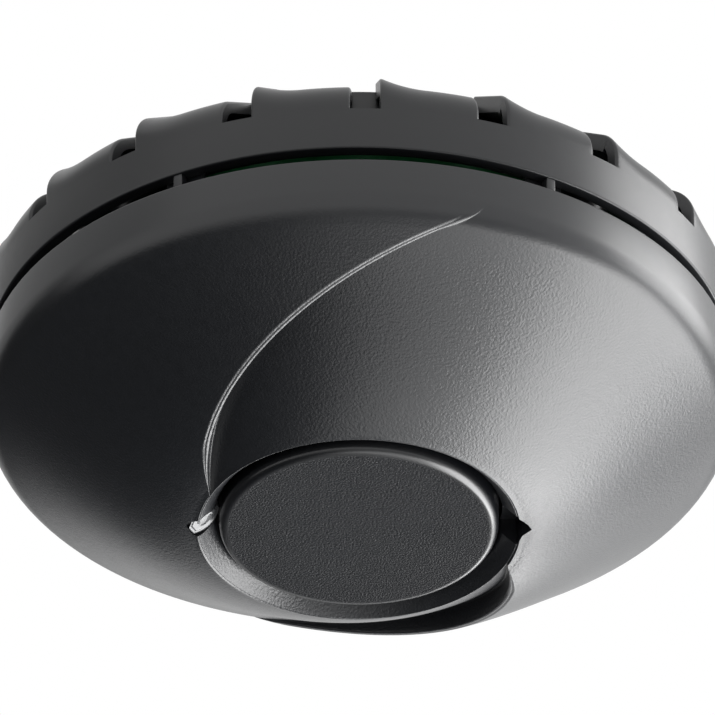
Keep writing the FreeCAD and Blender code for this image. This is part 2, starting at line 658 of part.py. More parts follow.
def test_button():
    corners = [
        ("0", "-button_low"),
        ("button_radius - button_round", "-button_low"),
        ("button_radius - 0.3 * button_round", "-(button_low - 0.3 * button_round)"),
        ("button_radius", "-(button_low - button_round)"),
        ("button_radius", "-button_rim"),
        ("button_radius - button_wall", "-button_rim"),
        ("button_radius - button_wall", "-button_inside"),
        ("post_radius", "-button_inside"),
        ("post_radius", "-stem_low"),
        ("0", "-stem_low"),
    ]
    body = turned("button_turned", corners)
    joined = [body]
    for k in range(int(size("hook_count"))):
        angle = "hook_azimuth + %d * 360 / hook_count" % k
        joined.append(block("hook_leg_%d" % k, angle, "hook_in", "hook_out", "hook_width", "button_inside",
                            "hook_top"))
        joined.append(block("hook_nose_%d" % k, angle, "hook_in", "hook_out + hook_reach", "hook_width",
                            "hook_under", "hook_top"))
    return fuse("test_button", joined)


def button_spring():
    """Helical return spring between the button's face and the recess floor, ends laid flat."""
    wire = size("spring_wire") / 2
    low = size("button_inside") - wire
    high = size("well_floor_low") + wire
    turns = size("spring_turns")
    height = low - high
    helix = Part.makeLongHelix(height / turns, height, size("spring_radius"), 0)
    helix.translate(FreeCAD.Vector(0, 0, -low))
    start = FreeCAD.Vector(size("spring_radius"), 0, -low)
    corners = []
    for k in range(7):
        turn = math.pi * k / 3
        corners.append(start + FreeCAD.Vector(wire * math.cos(turn), 0, wire * math.sin(turn)))
    section = Part.makePolygon(corners)
    return free_shape("button_spring", Part.Wire(helix).makePipeShell([section], True, True))


# Mounting plate: disc, hub wall, three lugs, screw slots and cable window.

def mounting_plate():
    corners = [
        ("plate_window", "0"),
        ("plate_radius", "0"),
        ("plate_radius", "-plate_lug_low"),
        ("plate_radius - plate_thick", "-plate_lug_low"),
        ("plate_radius - plate_thick", "-plate_thick"),
        ("plate_window", "-plate_thick"),
    ]
    body = turned("plate_turned", corners)
    joined = [body]
    for k in range(3):
        turn = "%d + 90" % (120 * k)
        joined.append(sector("plate_lug_%d" % k, "plate_radius - 0.5 * plate_thick", "plate_lug_radius",
                             "plate_lug_low", "plate_lug_top", turn, "lug_angle"))
    slots = []
    for side, angle in (("right", "0"), ("left", "180")):
        near = "(slot_spacing - slot_length + slot_width) / 2"
        far = "(slot_spacing + slot_length - slot_width) / 2"
        slots.append(block("slot_%s" % side, angle, near, far, "slot_width", "plate_thick + past", "-past"))
        for end, reach in (("near", near), ("far", far)):
            x, y = polar(reach, angle)
            name = "slot_%s_%s" % (side, end)
            slots.append(rod(name, "slot_width / 2", "plate_thick + past", "-past", x, y))
    return cut("mounting_plate", fuse("plate_joined", joined), slots)


# Circuit board and what sits on it.

def circuit_board():
    disc = rod("board_disc", "board_radius", "board_low", "board_depth")
    cuts = []
    for k, angle in enumerate(screw_azimuths()):
        x, y = polar("post_circle", angle)
        cuts.append(rod("board_hole_%d" % k, "screw_radius + fit_gap", "board_low + past",
                        "board_depth - past", x, y))
    return cut("circuit_board", disc, cuts)


def tact_switch():
    low = "board_low + switch_high"
    case = block("switch_case", "0", "-switch_side / 2", "switch_side / 2", "switch_side", low, "board_low")
    well = rod("stem_way", "stem_radius + post_play", low + " + past", "stem_top - button_travel - fit_gap")
    return cut("tact_switch", case, [well])


def switch_plunger():
    return rod("switch_plunger", "stem_radius", "stem_low", "stem_top")


def lens_middle():
    return polar("(lens_in + lens_out) / 2", "lens_azimuth")


def status_led():
    x, y = lens_middle()
    return rod("status_led", "led_radius", "board_low + led_high", "board_low", x, y)


def light_pipe():
    """Rod from the status lamp, with a slanted leaf-shaped lens across the lip."""
    low = size("lip_depth")
    past = size("past")
    tip = size("lens_in")
    end = size("lens_out") + past
    floor = size("well_floor_top")
    head = leaf(size("lens_azimuth"), tip, size("lens_out"), size("lens_width"), low, floor)
    slant = [
        (tip - past, low + past),
        (end, low + past),
        (end, dome_depth(end) + size("fit_gap")),
        (size("lip_radius") + 4 * size("fit_gap"), low - 2 * size("fit_gap")),
        (tip - past, low - size("lens_slope")),
    ]
    corners = [spot(size("lens_azimuth"), out, -size("lens_width"), depth) for out, depth in slant]
    across = spot(size("lens_azimuth"), 0, 2 * size("lens_width"), 0)
    wedge = Part.Face(Part.makePolygon(corners + corners[:1])).extrude(across)
    x, y = at((size("lens_in") + size("lens_out")) / 2, size("lens_azimuth"))
    top = size("board_low") + size("led_high") + size("fit_gap")
    flange = bar(size("lens_width") / 2 + size("moving_gap"), floor, floor - past, x, y)
    pipe = bar(size("pipe_radius"), floor, top, x, y)
    return free_shape("light_pipe", head.cut(wedge).fuse([flange, pipe]).removeSplitter())


def lamp_turn(side):
    split = size("lamp_split")
    return size("lamp_azimuth") + (split if side == "+" else -split)


def lamp(name, side):
    """Round lamp lying in its holder, aimed at the middle of the chamber."""
    azimuth = "lamp_azimuth %s lamp_split" % side
    item = doc.addObject("Part::Cylinder", name)
    item.setExpression("Radius", bound("lamp_radius"))
    item.setExpression("Height", bound("lamp_length"))
    x, y = polar("lamp_reach", azimuth)
    lying = FreeCAD.Rotation(FreeCAD.Vector(0, 0, 1), FreeCAD.Vector(*at(1, lamp_turn(side)), 0))
    item.Placement = FreeCAD.Placement(FreeCAD.Vector(), lying)
    item.setExpression("Placement.Base.x", bound(x))
    item.setExpression("Placement.Base.y", bound(y))
    item.setExpression("Placement.Base.z", bound("-lamp_height"))
    return item


def lamp_seat(name, side):
    """Bore in the holder, cut a little larger than the lamp."""
    turn = lamp_turn(side)
    gap = size("fit_gap")
    x, y = at(size("lamp_reach") - size("past"), turn)
    length = size("lamp_length") + size("past") + gap
    start = FreeCAD.Vector(x, y, -size("lamp_height"))
    shape = Part.makeCylinder(size("lamp_radius") + gap, length, start, FreeCAD.Vector(*at(1, turn), 0))
    return free_shape(name, shape)


def chamber_base():
    floor = rod("chamber_disc", "chamber_radius", "board_depth", "chamber_floor_top")
    joined = [floor]
    for name, side in (("emitter", "-"), ("receiver", "+")):
        azimuth = "lamp_azimuth %s lamp_split" % side
        far = "lamp_reach + lamp_length + holder_back"
        joined.append(block(name + "_holder", azimuth, "lamp_reach", far, "holder_width",
                            "chamber_floor_top + 0.5 * chamber_floor", "lid_under + 2 * fit_gap"))
    seats = [lamp_seat("emitter_seat", "-"), lamp_seat("receiver_seat", "+")]
    return cut("chamber_base", fuse("chamber_joined", joined), seats)


def chamber_cap():
    """Lid with a ring of slanted vanes that let smoke in and keep light out."""
    joined = [rod("lid_disc", "lid_radius", "lid_under", "chamber_top")]
    for k in range(int(size("vane_count"))):
        angle = "%d * 360 / vane_count" % k
        vane = doc.addObject("Part::Box", "vane_%d" % k)
        vane.setExpression("Length", bound("vane_length"))
        vane.setExpression("Width", bound("vane_thick"))
        vane.setExpression("Height", bound("chamber_floor_top - lid_under + 0.5 * lid_thick"))
        turn = "(%s + vane_turn)" % angle
        long = "vane_length / 2"
        thick = "vane_thick / 2"
        x = "vane_circle * cos(%s) - %s * cos(%s) + %s * sin(%s)" % (angle, long, turn, thick, turn)
        y = "vane_circle * sin(%s) - %s * sin(%s) - %s * cos(%s)" % (angle, long, turn, thick, turn)
        joined.append(place(vane, x, y, "-chamber_floor_top", turn))
    return fuse("chamber_cap", joined)


def insect_screen():
    outer = rod("screen_outer", "chamber_radius - screen_inset", "chamber_floor_top", "chamber_top")
    inner = rod("screen_inner", "chamber_radius - screen_inset - screen_thick", "chamber_floor_top + past",
                "chamber_top - past")
    return cut("insect_screen", outer, [inner])


def receiver_shield():
    near = "shield_reach - shield_length / 2"
    far = "shield_reach + shield_length / 2"
    top = "board_depth - shield_high"
    can = block("shield_can", "lamp_azimuth", near, far, "shield_width", "board_depth", top)
    room = block("shield_room", "lamp_azimuth", near + " + sheet_thick", far + " - sheet_thick",
                 "shield_width - 2 * sheet_thick", "board_depth + past", top + " + sheet_thick")
    return cut("receiver_shield", can, [room])


def battery_cell():
    """Cell lying along X on the near side, with its raised positive cap."""
    length = size("cell_length")
    cap = size("cap_nub")
    middle = FreeCAD.Vector(-length / 2, -size("cell_reach"), -size("cell_height"))
    body = Part.makeCylinder(size("cell_radius"), length - cap, middle, FreeCAD.Vector(1, 0, 0))
    ends = [edge for edge in body.Edges if isinstance(edge.Curve, Part.Circle)]
    body = body.makeChamfer(size("cell_edge"), ends)
    foot = middle + FreeCAD.Vector(length - 1.4 * cap, 0, 0)
    button = Part.makeCylinder(size("cap_nub_radius"), 1.4 * cap, foot, FreeCAD.Vector(1, 0, 0))
    return free_shape("battery_cell", body.fuse(button))


def battery_tab(name, side):
    """Nickel strip welded to a cell end and soldered to the board."""
    near = "cell_length / 2" if side > 0 else "-(cell_length / 2) - sheet_thick"
    item = doc.addObject("Part::Box", name)
    item.setExpression("Length", bound("sheet_thick"))
    item.setExpression("Width", bound("strip_width"))
    item.setExpression("Height", bound("cell_height + strip_width / 2 - board_low"))
    return place(item, near, "-cell_reach - strip_width / 2", "-(cell_height + strip_width / 2)")


def sounder_housing():
    x, y = polar("horn_reach", "90")
    case = rod("horn_case", "horn_radius", "board_low + horn_high", "board_low", x, y)
    top = "board_low - past"
    ledge = rod("horn_throat", "disc_radius - horn_ledge", "board_low + horn_high - horn_wall", top, x, y)
    seat = rod("horn_seat", "disc_radius + fit_gap", "disc_depth + disc_thick", top, x, y)
    mouth = rod("horn_mouth_hole", "horn_mouth", "board_low + horn_high + past", "board_low", x, y)
    return cut("sounder_housing", case, [ledge, seat, mouth])


def sounder_disc():
    x, y = polar("horn_reach", "90")
    return rod("sounder_disc", "disc_radius", "disc_depth + disc_thick", "disc_depth", x, y)


def sounder_ceramic():
    x, y = polar("horn_reach", "90")
    return rod("sounder_ceramic", "ceramic_radius", "disc_depth", "disc_depth - disc_thick", x, y)


def sounder_contacts():
    rim = "horn_reach - (disc_radius + ceramic_radius) / 2"
    pins = [rod("disc_pin", "contact_radius", "disc_depth", "board_low", "0", rim)]
    top = "disc_depth - disc_thick"
    pins.append(rod("ceramic_pin", "contact_radius", top, "board_low", "0", "horn_reach"))
    return fuse("sounder_contacts", pins)


def sounder_coil():
    x, y = polar("coil_reach", "180")
    return rod("sounder_coil", "coil_radius", "board_low + coil_high", "board_low", x, y)


def buffer_capacitor():
    x, y = polar("cap_reach", "0")
    return rod("buffer_capacitor", "cap_radius", "board_low + cap_high", "board_low", x, y)


def controller_chip():
    near = "chip_reach - chip_side / 2"
    far = "chip_reach + chip_side / 2"
    low = "board_low + chip_high"
    return block("controller_chip", "chip_azimuth", near, far, "chip_side", low, "board_low")


def chip_parts():
    pieces = []
    for k in range(int(size("part_count"))):
        angle = "(part_azimuth + %d * part_step)" % k
        near = "part_reach - part_length / 2"
        far = "part_reach + part_length / 2"
        pieces.append(block("chip_part_%d" % k, angle, near, far, "part_width", "board_low + part_high",
                            "board_low"))
    return fuse("chip_parts", pieces)


def housing_screws():
    screws = []
    for k, angle in enumerate(screw_azimuths()):
        x, y = polar("post_circle", angle)
        top = "screw_seat - screw_head_high"
        screws.append(rod("screw_shank_%d" % k, "screw_radius", "screw_seat + screw_length", top, x, y))
        screws.append(rod("screw_head_%d" % k, "screw_head", "screw_seat", top, x, y))
    return fuse("housing_screws", screws)


fill_sheet()
PARTS = [
    mounting_plate(),
    rear_housing(),
    front_cover(),
    test_button(),
    button_spring(),
    circuit_board(),
    tact_switch(),
    switch_plunger(),
    status_led(),
    light_pipe(),
    chamber_base(),
    chamber_cap(),
    insect_screen(),
    lamp("infrared_emitter", "-"),
    lamp("photo_receiver", "+"),
    receiver_shield(),
    battery_cell(),
    battery_tab("battery_tab_positive", 1),
    battery_tab("battery_tab_negative", -1),
    sounder_housing(),
    sounder_disc(),
    sounder_ceramic(),
    sounder_contacts(),
    sounder_coil(),
    buffer_capacitor(),
    controller_chip(),
    chip_parts(),
    housing_screws(),
]
doc.recompute()

for item in doc.Objects:
    if "Invalid" in item.State or "Error" in item.State:
        raise RuntimeError("%s failed: %s" % (item.Name, item.State))
for item in PARTS:
    item.Label = item.Name
    if item.Shape.isNull() or not item.Shape.isValid():
        raise RuntimeError("%s has no valid shape" % item.Name)

os.makedirs("parts", exist_ok=True)
for item in PARTS:
    item.Shape.exportStep("parts/%s.step" % item.Label)
    box = item.Shape.BoundBox
    print("%-22s solids %2d  volume %9.1f  z %7.2f to %7.2f" % (
        item.Label, len(item.Shape.Solids), item.Shape.Volume, box.ZMin, box.ZMax))
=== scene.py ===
# %% [markdown]
# # Ceiling smoke alarm: the looks
#
# The alarm hangs below a ceiling at z = 0 and the camera looks up at it through a long lens.
# The moulded shells that the camera sees are rebuilt here as fine meshes from a few sizes in
# millimetres, the same sizes as the solid part. What sits inside keeps its solid form and gets a
# material. Every mesh is built round the origin in the part's own frame, in metres.

# %% Load the fixed frame
import math

import bmesh
import bpy
import numpy as np
from mathutils import Matrix, Vector


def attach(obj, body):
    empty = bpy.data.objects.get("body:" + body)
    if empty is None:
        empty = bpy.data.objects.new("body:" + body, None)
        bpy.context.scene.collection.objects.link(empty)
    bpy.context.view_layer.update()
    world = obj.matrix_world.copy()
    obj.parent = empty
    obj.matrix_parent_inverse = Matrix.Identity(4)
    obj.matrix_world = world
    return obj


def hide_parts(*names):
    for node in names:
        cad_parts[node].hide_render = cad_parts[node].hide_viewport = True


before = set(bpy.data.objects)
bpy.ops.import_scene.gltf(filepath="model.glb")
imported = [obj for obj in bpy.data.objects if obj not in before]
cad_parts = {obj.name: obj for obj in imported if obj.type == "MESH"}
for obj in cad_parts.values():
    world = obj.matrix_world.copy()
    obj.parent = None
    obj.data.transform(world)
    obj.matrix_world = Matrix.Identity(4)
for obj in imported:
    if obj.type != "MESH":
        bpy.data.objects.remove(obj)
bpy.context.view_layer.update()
MM = 0.001

# %% [markdown]
# ## Small tools
#
# A shell is a grid of points: rows follow the section from edge to edge, columns go round the axis.
# `grid_mesh` turns such a grid into a mesh, and `finish_mesh` points its normals outwards and marks
# edges sharper than a given angle, so that broad faces shade smoothly.

# %% Points and faces into meshes
def new_object(name, verts, faces):
    """Mesh object from points in millimetres."""
    mesh = bpy.data.meshes.new(name)
    mesh.from_pydata([tuple(float(c) * MM for c in v) for v in verts], [], faces)
    mesh.validate()
    made = bpy.data.objects.new(name, mesh)
    bpy.context.scene.collection.objects.link(made)
    return made


def grid_faces(rows, columns, closed=True):
    """Quads of a grid, joined round the axis where it is closed."""
    faces = []
    for i in range(rows - 1):
        for j in range(columns if closed else columns - 1):
            k = (j + 1) % columns
            low, high = i * columns, (i + 1) * columns
            faces.append((low + j, low + k, high + k, high + j))
    return faces


def finish_mesh(made, sharp=32.0, merge=0.002):
    """Weld doubles, turn the normals outwards, smooth all but sharp edges."""
    work = bmesh.new()
    work.from_mesh(made.data)
    bmesh.ops.remove_doubles(work, verts=work.verts, dist=merge * MM)
    bmesh.ops.dissolve_degenerate(work, edges=work.edges, dist=merge * MM * 0.5)
    bmesh.ops.recalc_face_normals(work, faces=work.faces)
    work.to_mesh(made.data)
    work.free()
    made.data.polygons.foreach_set("use_smooth", [True] * len(made.data.polygons))
    made.data.set_sharp_from_angle(angle=math.radians(sharp))
    return made


def plain_copy(made):
    """Apply an object's modifiers, so that what is left is a plain mesh at the origin."""
    bpy.context.view_layer.update()
    graph = bpy.context.evaluated_depsgraph_get()
    mesh = bpy.data.meshes.new_from_object(made.evaluated_get(graph), depsgraph=graph)
    made.modifiers.clear()
    old = made.data
    made.data = mesh
    mesh.name = made.name
    bpy.data.meshes.remove(old)
    return made


print("mesh helpers: new_object, grid_faces, finish_mesh, plain_copy")

# %% [markdown]
# A turned shell starts as a section line in (r, z). Each corner of the section carries its own
# rounding radius, so moulded edges catch the light as real ones do.

# %% Sections and turned shells
def rounded_section(corners, steps=6):
    """Section line through corners (r, z, rounding radius), each corner turned into an arc."""
    points = []
    for k, (r, z, radius) in enumerate(corners):
        here = Vector((r, z))
        if radius == 0 or k in (0, len(corners) - 1):
            points.append((r, z))
            continue
        before = (Vector(corners[k - 1][:2]) - here).normalized()
        after = (Vector(corners[k + 1][:2]) - here).normalized()
        half = before.angle(after) / 2
        reach = radius / math.tan(half)
        centre = here + (before + after).normalized() * (radius / math.sin(half))
        start = here + before * reach - centre
        end = here + after * reach - centre
        turn = math.atan2(start.x * end.y - start.y * end.x, start.dot(end))
        for step in range(steps + 1):
            a = turn * step / steps
            c, s = math.cos(a), math.sin(a)
            spoke = Vector((start.x * c - start.y * s, start.x * s + start.y * c))
            points.append(tuple(centre + spoke))
    return points


def lathe(name, section, columns=192, x=0.0, y=0.0):
    """Turned shell from a section of (r, z) points."""
    around = np.linspace(0, 2 * math.pi, columns, endpoint=False)
    verts = [(x + r * math.cos(a), y + r * math.sin(a), z) for r, z in section for a in around]
    return finish_mesh(new_object(name, verts, grid_faces(len(section), columns)))


print("section helpers: rounded_section, lathe")

# %% [markdown]
# Small square fittings are boxes laid along a radius. Finished parts are joined, and solid tools
# are cut out of closed shells.

# %% Boxes, joining and carving
def block(name, azimuth, near, far, width, low, high, rounding=0.25):
    """Box along the radius at an azimuth, with rounded edges."""
    a = math.radians(azimuth)
    out = np.array([math.cos(a), math.sin(a), 0])
    side = np.array([-math.sin(a), math.cos(a), 0])
    work = bmesh.new()
    corners = []
    for z in (low, high):
        for r, w in ((near, -width / 2), (far, -width / 2), (far, width / 2), (near, width / 2)):
            corners.append(work.verts.new((out * r + side * w + np.array([0, 0, z])) * MM))
    for face in ((0, 1, 2, 3), (4, 5, 6, 7), (0, 1, 5, 4), (1, 2, 6, 5), (2, 3, 7, 6), (3, 0, 4, 7)):
        work.faces.new([corners[k] for k in face])
    if rounding:
        reach = rounding * MM
        bmesh.ops.bevel(work, geom=work.edges[:], offset=reach, segments=3, profile=0.5, affect="EDGES")
    bmesh.ops.recalc_face_normals(work, faces=work.faces)
    mesh = bpy.data.meshes.new(name)
    work.to_mesh(mesh)
    work.free()
    made = bpy.data.objects.new(name, mesh)
    bpy.context.scene.collection.objects.link(made)
    mesh.polygons.foreach_set("use_smooth", [True] * len(mesh.polygons))
    mesh.set_sharp_from_angle(angle=math.radians(40))
    return made


def join(name, objects):
    """Join finished meshes into one."""
    work = bmesh.new()
    for item in objects:
        work.from_mesh(item.data)
    mesh = bpy.data.meshes.new(name)
    work.to_mesh(mesh)
    work.free()
    for item in objects:
        old = item.data
        bpy.data.objects.remove(item)
        bpy.data.meshes.remove(old)
    made = bpy.data.objects.new(name, mesh)
    bpy.context.scene.collection.objects.link(made)
    return made


def carve(made, cutters):
    """Cut solid tools out of a closed shell."""
    tool = join("cutter", cutters)
    cut = made.modifiers.new("carve", "BOOLEAN")
    cut.operation = "DIFFERENCE"
    cut.solver = "EXACT"
    cut.object = tool
    plain_copy(made)
    bpy.data.objects.remove(tool)
    return made


print("solid helpers: block, join, carve")

# %% [markdown]
# ## Sizes shared by the shells
#
# Depths are heights here: z is zero at the ceiling and negative below it.

# %% Sizes in millimetres
RING_LOW = -22.0
RING_RADIUS = 55.0
CROWN_RADIUS = 55.2
SHOULDER_Z = -11.2
CROWN_Z = -3.6
SHOULDER_ROUND = 6.2
RECESS_OUTER = 43.0
WALL = 1.9
NOTCHES = 18
NOTCH_FIRST = -89.1
NOTCH_ANGLE = 4.56
NOTCH_LOW = -15.2
TOOTH_RISE = 1.7
TOOTH_ANGLE = 7.5
SKIRT_TOP = -24.3
SKIRT_RADIUS = 55.4
LIP_RADIUS = 23.5
LIP_Z = -52.4
FLARE_RADIUS = 21.2
FLARE_Z = -50.1
DOME_SLOPE = math.radians(31.99)
DOME_ROUND = 5.0
WELL_FLOOR = -44.0
SWIRL_RISE = 3.0
SWIRL_START = -159.0
SWIRL_SWEEP = 88.6
BLADE_COLUMNS = 96
GUIDE_HOLE = 3.05
SCREW_CIRCLE = 37.0
SCREW_ANGLES = (30, 150, 210, 330)
HOOK_ANGLES = (90, 210, 330)
screw_turns = [math.radians(a) for a in SCREW_ANGLES]
screw_spots = [(SCREW_CIRCLE * math.cos(a), SCREW_CIRCLE * math.sin(a)) for a in screw_turns]
print("scallops:", NOTCHES, "of", round(360 / NOTCHES - NOTCH_ANGLE, 2), "degrees")

# %% [markdown]
# ## The dome with its two spiral steps
#
# From lip to rim the dome is a cone with a rounded edge. Two spirals cross it, half a turn apart.
# Behind each one the surface hangs lower by up to 4.5 mm and then eases back to the plain cone over
# half a turn. The step is highest about halfway out and runs out at lip and rim.

# %% Plain dome and the height of its steps
def dome_z(r):
    """Height of the plain dome at a radius."""
    corner = LIP_Z + (SKIRT_RADIUS - LIP_RADIUS) * math.tan(DOME_SLOPE)
    reach = DOME_ROUND * math.tan((math.pi / 2 - DOME_SLOPE) / 2)
    centre_r = SKIRT_RADIUS - DOME_ROUND
    if r <= centre_r + DOME_ROUND * math.sin(DOME_SLOPE):
        return LIP_Z + (r - LIP_RADIUS) * math.tan(DOME_SLOPE)
    return corner + reach - math.sqrt(max(DOME_ROUND ** 2 - (r - centre_r) ** 2, 0.0))


def swirl_share(r):
    """Share of the way from the lip to the skirt."""
    return min(max((r - LIP_RADIUS) / (SKIRT_RADIUS - LIP_RADIUS), 0.0), 1.0)


def rise_at(r):
    """How far the raised side of the step hangs down at a radius."""
    share = swirl_share(r)
    rest = 0.42 * min(max((1.0 - share) / 0.012, 0.0), 1.0)
    return max(SWIRL_RISE * math.sin(math.pi * share ** 0.8), rest)


def hang(r, way):
    """Drop below the plain cone, a share of half a turn behind a spiral."""
    return rise_at(r) * (way - 0.5 * math.exp(-way / 0.16))


print("step height halfway out:", round(1.5 * rise_at((LIP_RADIUS + SKIRT_RADIUS) / 2), 2), "mm")

# %% [markdown]
# Across the crease the step starts with a fine double bead, which draws the two bright lines of its
# edge, then drops by a steep face and ends in a small fillet. The profile is a chain of short
# strokes, each with its tilt below the blade and its length.

# %% Step profile
BEAD_STROKES = (
    (3, 0.05), (12, 0.10), (30, 0.12), (38, 0.20), (34, 0.10), (14, 0.07), (6, 0.07),
    (24, 0.08), (36, 0.18), (44, 0.20), (50, 0.14), (60, 0.08), (70, 0.08),
)
FOOT_TILTS = (66, 52, 38, 24, 10)


def step_profile(height, share, face=78.0):
    """(distance, share of the step) across the crease: beaded edge, steep face, fillet at the foot."""
    bead = min(1.0, height / 0.5) * min(max((share - 0.03) / 0.16, 0.05), 1.0)
    tilts = [(tilt, length * bead) for tilt, length in BEAD_STROKES]
    foot = [(tilt, min(0.45, 0.2 * height) * 0.26) for tilt in FOOT_TILTS]
    fallen = sum(length * math.sin(math.radians(tilt)) for tilt, length in tilts + foot)
    if fallen < height:
        steep = (height - fallen) / math.sin(math.radians(face)) / 4
    else:
        steep = 0.001
    points = [(0.0, 0.0)]
    for tilt, length in tilts + [(face, steep)] * 4 + foot:
        x, y = points[-1]
        lean = math.radians(tilt)
        points.append((x + length * math.cos(lean), y + length * math.sin(lean)))
    middle = points[len(tilts)][0]
    return [(d - middle, h / points[-1][1]) for d, h in points]


print("step columns:", len(step_profile(4.5, 0.5)))

# %% [markdown]
# Columns of the grid follow the spirals, so each step keeps its own narrow columns from lip to rim
# and the wide blades between them share the rest.

# %% Rows of the dome
def blade_spacing(u):
    """Columns closer together near both steps."""
    return u - 0.12 * math.sin(2 * math.pi * u)


def dome_row(r):
    """One row of the dome: for each half, the step's columns and then the blade's."""
    share = swirl_share(r)
    crease = SWIRL_START + SWIRL_SWEEP * share ** 0.85
    reach = SKIRT_RADIUS - LIP_RADIUS
    slope = r * math.radians(SWIRL_SWEEP) * 0.85 * max(share, 0.02) ** -0.15 / reach
    lean = 1 / math.sqrt(1 + slope ** 2)
    height = max(1.5 * rise_at(r), 0.02)
    profile = step_profile(height, share)
    scale = math.degrees(1 / (r * lean))
    first = profile[0][0] * scale / 180
    last = profile[-1][0] * scale / 180
    row = []
    for half in (0, 1):
        base = crease + 180 * half
        for d, fall in profile:
            way = d * scale / 180
            raised = hang(r, 1 + min(way, 0))
            drop = raised * (1 - fall) + hang(r, last) * fall
            row.append((r, base + d * scale, dome_z(r) - drop))
        for k in range(1, BLADE_COLUMNS):
            u = k / BLADE_COLUMNS
            way = last + (1 + first - last) * blade_spacing(u)
            row.append((r, base + 180 * way, dome_z(r) - hang(r, way)))
    return row


print("points in a row of the dome:", len(dome_row(40.0)))

# %% [markdown]
# The cover is one closed shell: out over the well floor, up its wall, which flares into the lip,
# along the dome and the skirt, and back along the inside.

# %% Front cover shell
def end_angles(r):
    """Column azimuths of a row at a radius."""
    return [a for _, a, _ in dome_row(max(r, LIP_RADIUS))]


def cover_rows():
    """All rows of the cover, from the middle of the well floor outside to the middle inside."""
    well = rounded_section([
        (GUIDE_HOLE, WELL_FLOOR, 0), (8.0, WELL_FLOOR, 0), (14.0, WELL_FLOOR, 0), (21.0, WELL_FLOOR, 0),
        (FLARE_RADIUS, WELL_FLOOR, 0.5), (FLARE_RADIUS, FLARE_Z, 1.6), (LIP_RADIUS, LIP_Z, 0.12),
        (30.0, dome_z(30.0), 0),
    ], 8)[:-1]
    centre = SKIRT_RADIUS - DOME_ROUND
    knee = centre + DOME_ROUND * math.sin(DOME_SLOPE)
    radii = list(np.linspace(well[-1][0] + 0.25, knee, 62))
    radii += [centre + DOME_ROUND * math.sin(a) for a in np.linspace(DOME_SLOPE, math.pi / 2, 15)[1:]]
    inside = rounded_section([
        (SKIRT_RADIUS, -29.0, 0), (SKIRT_RADIUS, SKIRT_TOP, 0.35),
        (SKIRT_RADIUS - 2.05, SKIRT_TOP, 0.25), (SKIRT_RADIUS - 2.1, -31.0, 3.0),
        (27.5, -46.0, 1.0), (25.4, -45.0, 0.3),
        (25.3, WELL_FLOOR + 2, 0.2), (GUIDE_HOLE, WELL_FLOOR + 2, 0),
    ], 5)[1:]
    rows = [[(r, a, z) for a in end_angles(r)] for r, z in well]
    rows += [dome_row(r) for r in radii]
    rows += [[(r, a, z) for a in end_angles(SKIRT_RADIUS)] for r, z in inside]
    return rows


def cover_shell():
    """Closed mesh of the cover from all its rows."""
    rows = cover_rows()
    columns = len(rows[0])
    verts = []
    for row in rows:
        for r, a, z in row:
            t = math.radians(a)
            verts.append((r * math.cos(t), r * math.sin(t), z))
    faces = grid_faces(len(rows), columns)
    last = (len(rows) - 1) * columns
    faces += [(last + j, last + (j + 1) % columns, (j + 1) % columns, j) for j in range(columns)]
    return finish_mesh(new_object("cover_shell", verts, faces), 30)


cover = cover_shell()
print("cover shell:", len(cover.data.polygons), "faces")

# %% [markdown]
# The shell is closed, so tools can be cut out of it: the leaf-shaped seat of the lens, the pointed
# notch opposite, the sound slots and the three slots that the button's hooks pass.

# %% Tools that cut the cover
LENS_TIP = Vector((-20.75, -1.55, -49.3))
LENS_END = Vector((-24.7, 0.45, -52.3))
LENS_WIDTH = 3.5
LENS_ALONG = Vector((LENS_END.x - LENS_TIP.x, LENS_END.y - LENS_TIP.y, 0)).normalized()
LENS_ACROSS = Vector((-LENS_ALONG.y, LENS_ALONG.x, 0))
SEAT_GAP = 0.3
BEAK_BACK = 20.5


def prism(name, outline, low, high):
    """Upright prism from a plan outline."""
    count = len(outline)
    verts = [(x, y, low) for x, y in outline] + [(x, y, high) for x, y in outline]
    faces = [tuple(range(count))[::-1], tuple(range(count, 2 * count))]
    faces += [(k, (k + 1) % count, count + (k + 1) % count, count + k) for k in range(count)]
    made = new_object(name, verts, faces)
    work = bmesh.new()
    work.from_mesh(made.data)
    bmesh.ops.recalc_face_normals(work, faces=work.faces)
    work.to_mesh(made.data)
    work.free()
    return made


def lens_leaf(grow=0.0, steps=13):
    """Plan outline of the leaf-shaped lens, from its inner tip round both sides."""
    sides = []
    for way in (1, -1):
        for k in range(steps):
            u = k / (steps - 1)
            swell = math.sin(math.pi * min(u * 0.86 + 0.02, 1.0)) ** 0.85
            wide = LENS_WIDTH / 2 * (0.06 + 0.94 * swell) + grow
            point = LENS_TIP.lerp(LENS_END, u * (1 + 2 * grow / 5.0) - grow / 5.0)
            sides.append(point + LENS_ACROSS * way * wide)
    return sides[:steps] + list(reversed(sides[steps:]))


beak = [
    (BEAK_BACK, -3.5), (23.3, -3.5), (24.4, -1.8), (25.0, -0.8),
    (25.5, 0.5), (24.1, 1.6), (23.2, 3.9), (BEAK_BACK, 3.9),
]
seat = [(point.x, point.y) for point in lens_leaf(SEAT_GAP)]
print("lens seat:", len(seat), "points; beak:", len(beak), "points")

# %% Cut the openings of the cover
tools = [prism("beak", beak, -60, -47.8)]
tools.append(prism("lens_seat", seat, -60, -46.5))
for k in range(12):
    tools.append(block("sound_slot", 30 * k + 15, 8.0, 15.0, 1.6, -46, -41, 0))
for a in HOOK_ANGLES:
    tools.append(block("hook_slot", a, 18.6, 20.5, 5.5, -46, -41, 0))
carve(cover, tools)
cover.name = "front_cover_shell"
finish_mesh(cover, 30)
print("cover after cutting:", len(cover.data.polygons), "faces")

# %% [markdown]
# What stands at even steps round the axis is modelled once. A Geometry Nodes group makes one point
# for each copy, places an instance on it and turns it by its number times the step. The copies are
# then made real and given the finish of the case.

